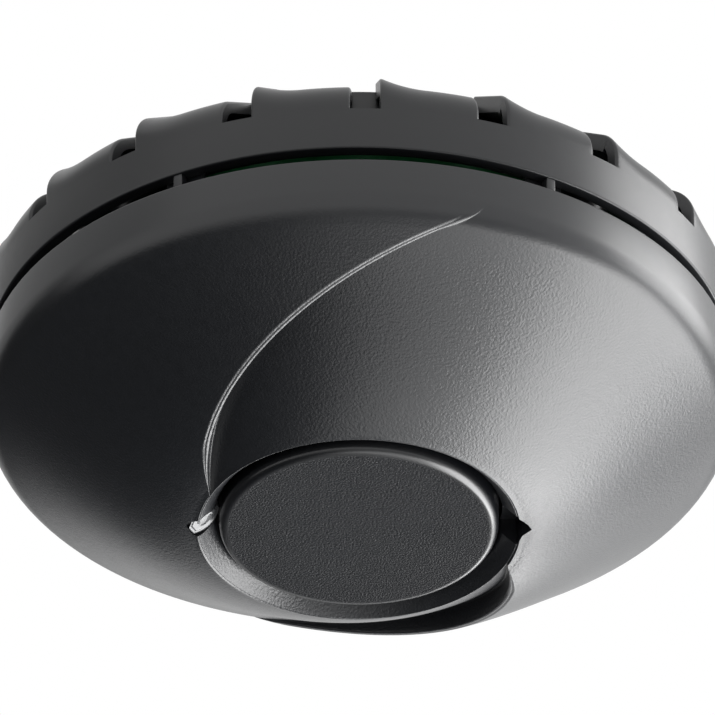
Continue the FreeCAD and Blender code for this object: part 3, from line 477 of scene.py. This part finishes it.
# %% Copies round the axis
case = bpy.data.materials.new("case_black_satin")


def copies_around(made, count, step, first=0.0):
    """Geometry Nodes group that turns copies of a mesh about Z, and the plain mesh it gives."""
    tree = bpy.data.node_groups.new(made.name + "_around", "GeometryNodeTree")
    tree.interface.new_socket("Geometry", in_out="INPUT", socket_type="NodeSocketGeometry")
    number = tree.interface.new_socket("Count", in_out="INPUT", socket_type="NodeSocketInt")
    turn = tree.interface.new_socket("Step", in_out="INPUT", socket_type="NodeSocketFloat")
    start = tree.interface.new_socket("First", in_out="INPUT", socket_type="NodeSocketFloat")
    tree.interface.new_socket("Geometry", in_out="OUTPUT", socket_type="NodeSocketGeometry")
    source = tree.nodes.new("NodeGroupInput")
    result = tree.nodes.new("NodeGroupOutput")
    line = tree.nodes.new("GeometryNodeMeshLine")
    line.inputs["Offset"].default_value = (0, 0, 0)
    points = tree.nodes.new("GeometryNodeMeshToPoints")
    index = tree.nodes.new("GeometryNodeInputIndex")
    angle = tree.nodes.new("ShaderNodeMath")
    angle.operation = "MULTIPLY_ADD"
    turning = tree.nodes.new("ShaderNodeCombineXYZ")
    spread = tree.nodes.new("GeometryNodeInstanceOnPoints")
    real = tree.nodes.new("GeometryNodeRealizeInstances")
    tree.links.new(source.outputs["Count"], line.inputs["Count"])
    tree.links.new(line.outputs["Mesh"], points.inputs["Mesh"])
    tree.links.new(index.outputs["Index"], angle.inputs[0])
    tree.links.new(source.outputs["Step"], angle.inputs[1])
    tree.links.new(source.outputs["First"], angle.inputs[2])
    tree.links.new(angle.outputs["Value"], turning.inputs["Z"])
    tree.links.new(points.outputs["Points"], spread.inputs["Points"])
    tree.links.new(source.outputs["Geometry"], spread.inputs["Instance"])
    tree.links.new(turning.outputs["Vector"], spread.inputs["Rotation"])
    tree.links.new(spread.outputs["Instances"], real.inputs["Geometry"])
    finish = tree.nodes.new("GeometryNodeSetMaterial")
    finish.inputs["Material"].default_value = case
    tree.links.new(real.outputs["Geometry"], finish.inputs["Geometry"])
    tree.links.new(finish.outputs["Geometry"], result.inputs["Geometry"])
    worker = made.modifiers.new("around", "NODES")
    worker.node_group = tree
    worker[number.identifier] = count
    worker[turn.identifier] = math.radians(step)
    worker[start.identifier] = math.radians(first)
    return plain_copy(made)


print("nodes for copies ready, finish:", case.name)

# %% Ribs and tongues of the cover
RIB_FIRST = 0.9
rib = join("cover_ribs", [
    block("rib", 0, 53.2, 54.8, 1.5, -25.5, RING_LOW + 0.02, 0.2),
    block("tongue", 0, 51.5, 52.8, 6.0, -27.3, -18.0, 0.3),
    block("foot", 0, 51.5, 54.2, 6.0, -27.3, -24.35, 0.3),
])
ribs = copies_around(rib, 6, 60, RIB_FIRST)
print("cover ribs:", len(ribs.data.polygons), "faces")

# %% [markdown]
# Four bosses take the housing screws and reach down to the inside of the dome. A tube in the middle
# guides the post of the test button.

# %% Bosses and guide tube of the cover
BOSS_SECTION = [(1.5, -30), (1.5, -21.3), (1.8, -21.2), (3.8, -21.2), (4.0, -21.4), (4.0, -43)]
TUBE_SECTION = [
    (2.98, WELL_FLOOR), (2.98, -36.2), (3.2, -36.0),
    (4.8, -36.0), (4.98, -36.2), (4.98, WELL_FLOOR + 1.5),
]
bosses = []
for x, y in screw_spots:
    boss = lathe("boss", BOSS_SECTION, 40, x, y)
    for point in boss.data.vertices:
        if point.co.z < -0.042:
            point.co.z = (dome_z(math.hypot(point.co.x, point.co.y) / MM) + 1.4) * MM
    bosses.append(boss)
tube = lathe("guide", TUBE_SECTION, 64)
cover_inside = join("cover_fittings", bosses + [tube])
print("bosses and tube:", len(cover_inside.data.polygons), "faces")

# %% [markdown]
# ## The crown of the rear housing
#
# Eighteen scallops stand round the crown with a notch between each two. One scallop is modelled: its
# section runs up the wall, over the shoulder and along the roof, and one end stands up like a saw
# tooth. Geometry Nodes copies it round the axis.

# %% Section of a scallop
ROOF_FALL = (CROWN_Z - SHOULDER_Z) / (CROWN_RADIUS - RECESS_OUTER)


def scallop_section(rise):
    """Outer and inner section of a scallop, lifted by a rise, from the notch's bottom to the rim."""
    bend = SHOULDER_ROUND
    reach = bend * (math.sqrt(1 + ROOF_FALL ** 2) - ROOF_FALL)
    angle = 2 * math.atan(reach / bend)
    centre = (CROWN_RADIUS - bend, SHOULDER_Z - reach + rise)
    outer = [(CROWN_RADIUS, NOTCH_LOW), (CROWN_RADIUS, NOTCH_LOW + 0.5 * (centre[1] - NOTCH_LOW))]
    for k in range(11):
        a = angle * k / 10
        outer.append((centre[0] + bend * math.cos(a), centre[1] + bend * math.sin(a)))
    r, z = outer[-1]
    for k in range(1, 7):
        step = (r - RECESS_OUTER) * k / 6
        outer.append((r - step, z + step * ROOF_FALL))
    inner = []
    for k, (r, z) in enumerate(outer):
        a = 0 if k < 2 else min(angle * (k - 2) / 10, angle)
        depth = WALL if k < 2 else 1.85
        sink = rise * 0.6 if k > 8 else 0
        inner.append((max(r - depth * math.cos(a), RECESS_OUTER), z - depth * math.sin(a) - sink))
    return outer, inner


print("points in a scallop's outer section:", len(scallop_section(0)[0]))

# %% [markdown]
# The scallop is a closed block. Its edges along both notches are softened, and the rise of the saw
# tooth fades over its first degrees.

# %% One scallop, then eighteen
def scallop():
    """Closed block between two notches, with softened edges along both of them."""
    width = 360 / NOTCHES - NOTCH_ANGLE
    soft = 0.45
    edge = math.degrees(soft / 50)
    turns = [edge * (1 - math.cos(math.radians(k * 15))) for k in range(7)]
    turns += list(np.linspace(edge, width - edge, 26)[1:-1])
    turns += [width - t for t in reversed(turns[:7])]
    columns = []
    for t in turns:
        rise = TOOTH_RISE * max(0.0, 1 - t / TOOTH_ANGLE) ** 2
        gap = min(t, width - t) / edge
        inset = soft * (1 - math.sqrt(max(1 - (1 - gap) ** 2, 0))) if gap < 1 else 0.0
        outer, inner = scallop_section(rise)
        line = []
        for k, (r, z) in enumerate(outer):
            ahead, behind = outer[min(k + 1, len(outer) - 1)], outer[max(k - 1, 0)]
            along = Vector((ahead[0] - behind[0], ahead[1] - behind[1])).normalized()
            if k == 0:
                along = Vector((0, 1))
            line.append((r - along.y * inset, z + along.x * inset))
        line += list(reversed(inner))
        a = math.radians(NOTCH_FIRST + NOTCH_ANGLE / 2 + t)
        columns.append([(r * math.cos(a), r * math.sin(a), z) for r, z in line])
    count = len(columns[0])
    verts = [v for column in columns for v in column]
    faces = grid_faces(len(columns), count)
    last = (len(columns) - 1) * count
    half = count // 2
    for k in range(half - 1):
        faces.append((k, k + 1, count - 2 - k, count - 1 - k))
        faces.append((last + k + 1, last + k, last + count - 1 - k, last + count - 2 - k))
    return finish_mesh(new_object("crown_scallops", verts, faces), 34)


one = scallop()
crown = copies_around(one, NOTCHES, 360 / NOTCHES)
finish_mesh(crown, 34)
print("crown:", len(crown.data.polygons), "faces")

# %% [markdown]
# Below the scallops runs the plain ring. The back wall closes the housing above, with four sunk
# screw heads and their posts under it.

# %% Ring, back wall and posts of the rear housing
ring_section = rounded_section([
    (CROWN_RADIUS - WALL, NOTCH_LOW, 0), (CROWN_RADIUS - WALL - 0.05, -19, 0),
    (RING_RADIUS - WALL, RING_LOW, 0.25), (RING_RADIUS, RING_LOW, 0.35),
    (CROWN_RADIUS, -17.5, 0), (CROWN_RADIUS, NOTCH_LOW, 0), (CROWN_RADIUS - WALL, NOTCH_LOW, 0),
], 6)
ring = lathe("housing_ring", ring_section, 288)
back_section = [
    (0.01, -6.2), (40.9, -6.2), (41.2, -5.9), (41.2, -3.8), (41.4, -3.6),
    (42.8, -3.6), (43.0, -3.8), (43.0, -8.0), (0.01, -8.0),
]
back_wall = lathe("back_wall", back_section, 192)
head_way = [(0.0001, -5), (3.0, -5), (3.0, -9), (1.55, -9), (1.55, -10), (0.0001, -10)]
post = [
    (3.0, -7), (3.0, -9), (1.55, -9), (1.55, -19.6),
    (4.4, -19.6), (4.6, -19.4), (4.6, -7), (3.0, -7),
]
holes = [lathe("head_way", head_way, 40, x, y) for x, y in screw_spots]
posts = [lathe("post", post, 40, x, y) for x, y in screw_spots]
carve(back_wall, holes)
finish_mesh(back_wall, 32)
print("ring:", len(ring.data.polygons), "back wall:", len(back_wall.data.polygons), "faces")

# %% [markdown]
# Three lugs stand in the recess for the bayonet, each with a stop at one end.

# %% Bayonet lugs, and the whole housing
LUG_INNER = 38.4
LUG_OUTER = 41.6


def arc_bar(name, middle, width, inner, outer, low, high, steps=16):
    """Arc-shaped lug."""
    turns = np.radians(np.linspace(middle - width / 2, middle + width / 2, steps))
    outline = [(outer * math.cos(a), outer * math.sin(a)) for a in turns]
    outline += [(inner * math.cos(a), inner * math.sin(a)) for a in reversed(turns)]
    return prism(name, outline, low, high)


lugs = []
for k in range(3):
    lugs.append(arc_bar("lug", 120 * k + 90, 16, LUG_INNER, LUG_OUTER, -4.4, -3.6))
    lugs.append(arc_bar("stop", 120 * k + 80.5, 2, LUG_INNER, LUG_OUTER, -6.4, -3.6, 4))
housing = join("rear_housing_shell", [crown, ring, back_wall] + posts + lugs)
housing.data.polygons.foreach_set("use_smooth", [True] * len(housing.data.polygons))
print("rear housing:", len(housing.data.polygons), "faces")

# %% [markdown]
# ## Test button and lens
#
# The button is a turned cap with a rounded rim, a hollow back and a guide post in its middle. Three
# hooks hold it in the slots of the well floor.

# %% Test button
BUTTON_RADIUS = 20.6
BUTTON_WALL = 1.6
POST_RADIUS = 2.9
POST_END = -26.4
cap_inside = BUTTON_RADIUS - BUTTON_WALL
face = rounded_section([
    (0.01, LIP_Z, 0), (BUTTON_RADIUS, LIP_Z, 1.25),
    (BUTTON_RADIUS, -46.8, 0.2), (cap_inside, -46.8, 0.2), (cap_inside, -50.4, 0.3),
    (POST_RADIUS, -50.4, 0.5), (POST_RADIUS, POST_END, 0.3), (0.01, POST_END, 0),
], 8)
skin = [(0.01, LIP_Z)] + [(r, LIP_Z) for r in np.linspace(1.0, 19.2, 14)] + face[1:]
button = lathe("button_cap", skin, 224)
hooks = []
for a in HOOK_ANGLES:
    hooks.append(block("leg", a, 18.9, 20.2, 4.6, -50.4, -40.6, 0.2))
    hooks.append(block("nose", a, 18.9, 21.0, 4.6, -41.7, -40.6, 0.2))
button = join("test_button_cap", [button] + hooks)
print("button:", len(button.data.polygons), "faces")

# %% [markdown]
# The lens is the leaf outline shrunk in rows towards its middle: a skirt, a raised rim, a shallow
# groove and a mid rib, each row lifted along the slanted normal. A clear rod leads up to the lamp.

# %% Lens and light pipe
LENS_DEEP = 3.2
LENS_ROWS = (
    (1.0, -0.12), (0.97, 0.0), (0.86, 0.03), (0.78, -0.10),
    (0.52, -0.10), (0.42, 0.02), (0.22, 0.10), (0.06, 0.12),
)
ROD_CIRCLE = 23.45
ROD_TURN = math.radians(186)
ROD_SECTION = [(0.01, -46.4), (1.5, -46.4), (1.5, -24.1), (1.3, -23.9), (0.01, -23.9)]


def lens():
    """Leaf-shaped lens with a raised rim and a mid rib, slanted along the wall, on its rod."""
    slope = (LENS_END - LENS_TIP) / (LENS_END - LENS_TIP).to_2d().length
    normal = slope.cross(LENS_ACROSS).normalized()
    ring = lens_leaf()
    middle = sum(ring, Vector()) / len(ring)
    rows = [[p + Vector((0, 0, LENS_DEEP)) for p in ring]]
    for share, lift in LENS_ROWS:
        rows.append([middle + (p - middle) * share + normal * lift for p in ring])
    count = len(ring)
    faces = grid_faces(len(rows), count)
    faces.append(tuple(range(count))[::-1])
    top = (len(rows) - 1) * count
    faces.append(tuple(range(top, top + count)))
    points = [tuple(p) for row in rows for p in row]
    head = finish_mesh(new_object("lens_head", points, faces), 28, 0.0005)
    x, y = ROD_CIRCLE * math.cos(ROD_TURN), ROD_CIRCLE * math.sin(ROD_TURN)
    stem = lathe("lens_rod", ROD_SECTION, 40, x, y)
    return join("status_lens", [head, stem])


pipe = lens()
print("lens:", len(pipe.data.polygons), "faces")

# %% [markdown]
# ## Bodies
#
# The shells ride the alarm and the cap rides the button. Each takes the place of its solid.

# %% Ride the bodies
made = {"alarm": [cover, ribs, cover_inside, housing, pipe], "button": [button]}
for body, objects in made.items():
    for item in objects:
        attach(item, body)
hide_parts("front_cover")
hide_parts("rear_housing")
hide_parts("test_button")
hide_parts("light_pipe")
print({body: [item.name for item in objects] for body, objects in made.items()})

# %% [markdown]
# ## Materials
#
# Every finish is a small node network in object coordinates: a base colour varied by noise, a
# roughness varied with it, and a fine bump. The case is dark satin plastic. The cover's grain fades
# out above a height, so the skirt stays smooth.

# %% Material builder
GRAIN_FADE = 0.006


def finish_of(name, colour, roughness, spread=0.15, scale=900.0, bump=0.02, bump_scale=2500.0,
              metallic=0.0, ior=1.5, coat=0.0, transmission=0.0, grain_below=None):
    """Principled material with noise in colour and roughness and a fine bump."""
    material = bpy.data.materials.get(name) or bpy.data.materials.new(name)
    material.use_nodes = True
    tree = material.node_tree
    shader = tree.nodes["Principled BSDF"]
    place = tree.nodes.new("ShaderNodeTexCoord")
    tint = tree.nodes.new("ShaderNodeTexNoise")
    tint.inputs["Scale"].default_value = scale
    tint.inputs["Detail"].default_value = 3
    ramp = tree.nodes.new("ShaderNodeMix")
    ramp.data_type = "RGBA"
    ramp.inputs[6].default_value = (*[c * (1 - spread) for c in colour], 1)
    ramp.inputs[7].default_value = (*[min(c * (1 + spread), 1) for c in colour], 1)
    rough = tree.nodes.new("ShaderNodeMapRange")
    rough.inputs["To Min"].default_value = roughness * 0.9
    rough.inputs["To Max"].default_value = roughness * 1.1
    grain = tree.nodes.new("ShaderNodeTexNoise")
    grain.inputs["Scale"].default_value = bump_scale
    grain.inputs["Detail"].default_value = 2
    relief = tree.nodes.new("ShaderNodeBump")
    relief.inputs["Strength"].default_value = bump
    relief.inputs["Distance"].default_value = 0.0001
    tree.links.new(place.outputs["Object"], tint.inputs["Vector"])
    tree.links.new(place.outputs["Object"], grain.inputs["Vector"])
    tree.links.new(tint.outputs["Fac"], ramp.inputs[0])
    tree.links.new(ramp.outputs[2], shader.inputs["Base Color"])
    tree.links.new(tint.outputs["Fac"], rough.inputs["Value"])
    tree.links.new(rough.outputs["Result"], shader.inputs["Roughness"])
    if grain_below is None:
        tree.links.new(grain.outputs["Fac"], relief.inputs["Height"])
    else:
        height = tree.nodes.new("ShaderNodeSeparateXYZ")
        fade = tree.nodes.new("ShaderNodeMapRange")
        fade.inputs["From Min"].default_value = grain_below
        fade.inputs["From Max"].default_value = grain_below - GRAIN_FADE
        both = tree.nodes.new("ShaderNodeMath")
        both.operation = "MULTIPLY"
        tree.links.new(place.outputs["Object"], height.inputs["Vector"])
        tree.links.new(height.outputs["Z"], fade.inputs["Value"])
        tree.links.new(fade.outputs["Result"], both.inputs[0])
        tree.links.new(grain.outputs["Fac"], both.inputs[1])
        tree.links.new(both.outputs["Value"], relief.inputs["Height"])
    tree.links.new(relief.outputs["Normal"], shader.inputs["Normal"])
    shader.inputs["Metallic"].default_value = metallic
    shader.inputs["IOR"].default_value = ior
    shader.inputs["Coat Weight"].default_value = coat
    shader.inputs["Transmission Weight"].default_value = transmission
    return material


def wear(objects, material):
    """Give one finish to whole objects."""
    for item in objects:
        item.data.materials.clear()
        item.data.materials.append(material)


print("material builder ready")

# %% [markdown]
# Numbers in order: colour, roughness, spread of the colour, size of its noise, strength of the bump
# and size of its grain. Sizes are in cycles per metre.

# %% The plastics that the camera sees
GRAIN_TOP = -0.031
case_colour = (0.0112, 0.0120, 0.0136)
cover_colour = (0.0100, 0.0110, 0.0130)
button_colour = (0.0042, 0.0048, 0.0062)
lens_colour = (0.10, 0.103, 0.107)
case = finish_of("case_black_satin", case_colour, 0.36, 0.12, 700, 0.06, 5200, ior=1.55)
cover_black = finish_of(
    "cover_black_grained", cover_colour, 0.34, 0.12, 700, 0.60, 2600, ior=1.60, grain_below=GRAIN_TOP)
face_black = finish_of("button_black_grained", button_colour, 0.40, 0.35, 2600, 1.0, 3400, ior=1.26)
lens_clear = finish_of("lens_clear", lens_colour, 0.22, 0.35, 1500, 0.3, 1500, coat=0.25)
print("plastics:", case.name, cover_black.name, face_black.name, lens_clear.name)

# %% Metals, board, cell and small parts
steel = finish_of("steel_zinc", (0.60, 0.60, 0.58), 0.30, 0.08, 900, 0.05, 3000, metallic=1.0)
nickel = finish_of("nickel", (0.66, 0.62, 0.56), 0.24, 0.08, 1200, 0.04, 3000, metallic=1.0)
brass = finish_of("brass", (0.78, 0.56, 0.26), 0.28, 0.08, 1200, 0.04, 3000, metallic=1.0)
board_green = finish_of("board_green", (0.015, 0.16, 0.05), 0.33, 0.2, 600, 0.15, 1800, coat=0.3)
chip_black = finish_of("chip_black", (0.022, 0.022, 0.024), 0.45, 0.2, 2000, 0.2, 5000)
foil_black = finish_of("battery_foil", (0.03, 0.03, 0.034), 0.22, 0.25, 260, 0.35, 420, coat=0.6)
white_plastic = finish_of("plate_white", (0.62, 0.62, 0.60), 0.42, 0.04, 700, 0.08, 2600)
ceramic = finish_of("ceramic", (0.80, 0.78, 0.72), 0.5, 0.05, 900, 0.1, 2600)
copper = finish_of("copper_wire", (0.72, 0.30, 0.16), 0.3, 0.12, 2200, 0.2, 3600, metallic=1.0)
led_glass = finish_of("led_resin", (0.45, 0.75, 0.45), 0.08, 0.05, 900, 0.01, 1500, transmission=0.7)
print("materials so far:", len(bpy.data.materials))

# %% [markdown]
# The button's face is grained and dull, while its rounded rim is smooth and catches a thin bright
# line. The distance from the axis blends one into the other.

# %% Polished rim of the button
RIM_FROM = 0.0191
RIM_OVER = 0.0004
RIM_BUMP = 0.08


def polish_rim(material, radius, width, ior, roughness):
    """Smooth and glossier beyond a radius, where the face turns into its rounded rim."""
    tree = material.node_tree
    shader = tree.nodes["Principled BSDF"]
    place = tree.nodes.new("ShaderNodeTexCoord")
    flat = tree.nodes.new("ShaderNodeVectorMath")
    flat.operation = "MULTIPLY"
    flat.inputs[1].default_value = (1, 1, 0)
    reach = tree.nodes.new("ShaderNodeVectorMath")
    reach.operation = "LENGTH"
    tree.links.new(place.outputs["Object"], flat.inputs[0])
    tree.links.new(flat.outputs["Vector"], reach.inputs[0])
    inside_ior = shader.inputs["IOR"].default_value
    for socket, inner, outer in (("IOR", inside_ior, ior), ("Roughness", None, roughness)):
        share = tree.nodes.new("ShaderNodeMapRange")
        share.inputs["From Min"].default_value = radius
        share.inputs["From Max"].default_value = radius + width
        tree.links.new(reach.outputs["Value"], share.inputs["Value"])
        mix = tree.nodes.new("ShaderNodeMix")
        if inner is None:
            tree.links.new(shader.inputs[socket].links[0].from_socket, mix.inputs[2])
        else:
            mix.inputs[2].default_value = inner
        mix.inputs[3].default_value = outer
        tree.links.new(share.outputs["Result"], mix.inputs[0])
        tree.links.new(mix.outputs[0], shader.inputs[socket])
    relief = next(node for node in tree.nodes if node.type == "BUMP")
    fade = tree.nodes.new("ShaderNodeMapRange")
    fade.inputs["From Min"].default_value = radius
    fade.inputs["From Max"].default_value = radius + width
    fade.inputs["To Min"].default_value = relief.inputs["Strength"].default_value
    fade.inputs["To Max"].default_value = RIM_BUMP
    tree.links.new(reach.outputs["Value"], fade.inputs["Value"])
    tree.links.new(fade.outputs["Result"], relief.inputs["Strength"])


polish_rim(face_black, RIM_FROM, RIM_OVER, 1.7, 0.30)
print("nodes in", face_black.name + ":", len(face_black.node_tree.nodes))

# %% Give each piece its finish
wear([ribs, cover_inside, housing], case)
wear([cover], cover_black)
wear([button], face_black)
wear([pipe], lens_clear)
by_node = {
    case: ["chamber_base", "chamber_cap"],
    chip_black: ["sounder_housing", "controller_chip", "chip_parts", "tact_switch", "buffer_capacitor"],
    steel: ["button_spring", "insect_screen", "receiver_shield", "housing_screws"],
    nickel: ["battery_tab_positive", "battery_tab_negative", "sounder_contacts"],
    brass: ["sounder_disc"],
    board_green: ["circuit_board"],
    foil_black: ["battery_cell"],
    white_plastic: ["mounting_plate", "switch_plunger"],
    ceramic: ["sounder_ceramic"],
    copper: ["sounder_coil"],
    led_glass: ["status_led", "infrared_emitter", "photo_receiver"],
}
for material, names in by_node.items():
    wear([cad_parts[name] for name in names], material)
print({material.name: len(names) for material, names in by_node.items()})

# %% [markdown]
# ## Light and camera
#
# The background is white and is also seen in reflections. Two broad lamps stand to the right, one
# high and one low, and model the dome from dark on the left to bright on the right. Small lamps
# behind draw the lower edge, and a weak one below opens the lip. Dark flags low, left and behind
# keep the left side of the dome deep, and a grey card lights the crown. Flags, card and floor are
# seen in reflections only, so no view of the alarm is covered by them.

# %% World
world = bpy.data.worlds.new("studio")
bpy.context.scene.world = world
world.use_nodes = True
tree = world.node_tree
shade = tree.nodes["Background"]
shade.inputs["Color"].default_value = (1, 1, 1, 1)
rays = tree.nodes.new("ShaderNodeLightPath")
mirror = tree.nodes.new("ShaderNodeMath")
mirror.operation = "MAXIMUM"
seen = tree.nodes.new("ShaderNodeMath")
seen.operation = "MAXIMUM"
level = tree.nodes.new("ShaderNodeMapRange")
level.inputs["To Min"].default_value = 0.55
level.inputs["To Max"].default_value = 1.0
tree.links.new(rays.outputs["Is Glossy Ray"], mirror.inputs[0])
tree.links.new(rays.outputs["Is Transmission Ray"], mirror.inputs[1])
tree.links.new(rays.outputs["Is Camera Ray"], seen.inputs[0])
tree.links.new(mirror.outputs["Value"], seen.inputs[1])
tree.links.new(seen.outputs["Value"], level.inputs["Value"])
tree.links.new(level.outputs["Result"], shade.inputs["Strength"])
print("world:", world.name)

# %% Cards and lamps
def sheet(name, centre, towards, width, height, colour):
    """Flat card facing a point."""
    mesh = bpy.data.meshes.new(name)
    x, y = width / 2, height / 2
    mesh.from_pydata([(-x, -y, 0), (x, -y, 0), (x, y, 0), (-x, y, 0)], [], [(0, 1, 2, 3)])
    card = bpy.data.objects.new(name, mesh)
    bpy.context.scene.collection.objects.link(card)
    card.location = centre
    card.rotation_euler = (Vector(towards) - Vector(centre)).to_track_quat("Z", "Y").to_euler()
    material = finish_of(name + "_paint", colour, 0.9, 0.03, 6, 0.0, 10)
    mesh.materials.append(material)
    card.visible_camera = False
    return card


def softbox(name, centre, towards, width, height, power):
    """Rectangular lamp facing a point."""
    light = bpy.data.lights.new(name, "AREA")
    light.shape = "RECTANGLE"
    light.size = width
    light.size_y = height
    light.energy = power
    lamp = bpy.data.objects.new(name, light)
    bpy.context.scene.collection.objects.link(lamp)
    lamp.location = centre
    lamp.rotation_euler = (Vector(centre) - Vector(towards)).to_track_quat("Z", "Y").to_euler()
    return lamp


print("builders of cards and lamps ready")

# %% Floor, flags and card
PALE = (0.80, 0.80, 0.80)
GREY = (0.40, 0.40, 0.40)
DARK = (0.015, 0.015, 0.016)
floor = sheet("floor", (0, 0, -3.4), (0, 0, 0), 12, 12, PALE)
flag_low = sheet("flag_low", (-1.15, 0.2, -0.95), (-1.15, 0.2, 0), 1.9, 2.0, DARK)
flag_left = sheet("flag_left", (-0.95, 1.55, -0.45), (0, 1.55, -0.45), 3.2, 1.5, DARK)
flag_back = sheet("flag_back", (-0.15, 1.5, -1.05), (0, 0, 0), 1.3, 0.7, DARK)
card_left = sheet("card_left", (-1.0, 0.75, 0.75), (0, 0.75, 0.75), 2.6, 0.9, GREY)
print("floor:", floor.name, "flags:", flag_low.name, flag_left.name, flag_back.name)

# %% Lamps
HEART = (0, 0, -0.035)
right = softbox("right_softbox", (1.5, 0.25, 0.35), HEART, 1.1, 1.4, 32)
low_right = softbox("low_right_softbox", (0.84, 0.40, -0.86), HEART, 1.4, 0.85, 31)
back = softbox("back_softbox", (0.50, 1.45, -0.25), HEART, 0.7, 0.5, 1.6)
edge_low = softbox("edge_low_softbox", (0.60, 1.11, -0.85), HEART, 0.3, 0.35, 3.0)
edge_high = softbox("edge_high_softbox", (0.36, 1.39, -0.47), HEART, 0.25, 0.3, 2.2)
below = softbox("below_softbox", (0.30, -0.15, -1.3), HEART, 0.8, 0.8, 3)
print("lamps:", len(bpy.data.lights))

# %% [markdown]
# The camera looks up at the alarm by a little over 34 degrees. Its lens is long, so the round
# outlines stay almost true ellipses.

# %% Camera
TILT_UP = 34.4444
ROLL = 0.0716
camera = bpy.data.cameras.new("long_lens")
camera.sensor_width = 9
camera.lens = 374.51
camera.clip_start = 1.0
camera.clip_end = 60
eye = bpy.data.objects.new("long_lens", camera)
bpy.context.scene.collection.objects.link(eye)
eye.location = (-0.00023, -3.62860, -2.51031)
eye.rotation_euler = (math.radians(90 + TILT_UP), 0, 0)
eye.rotation_euler.rotate_axis("Z", math.radians(ROLL))
bpy.context.scene.camera = eye
bpy.context.scene.view_settings.view_transform = "Standard"
print("camera:", tuple(round(c, 4) for c in eye.location))
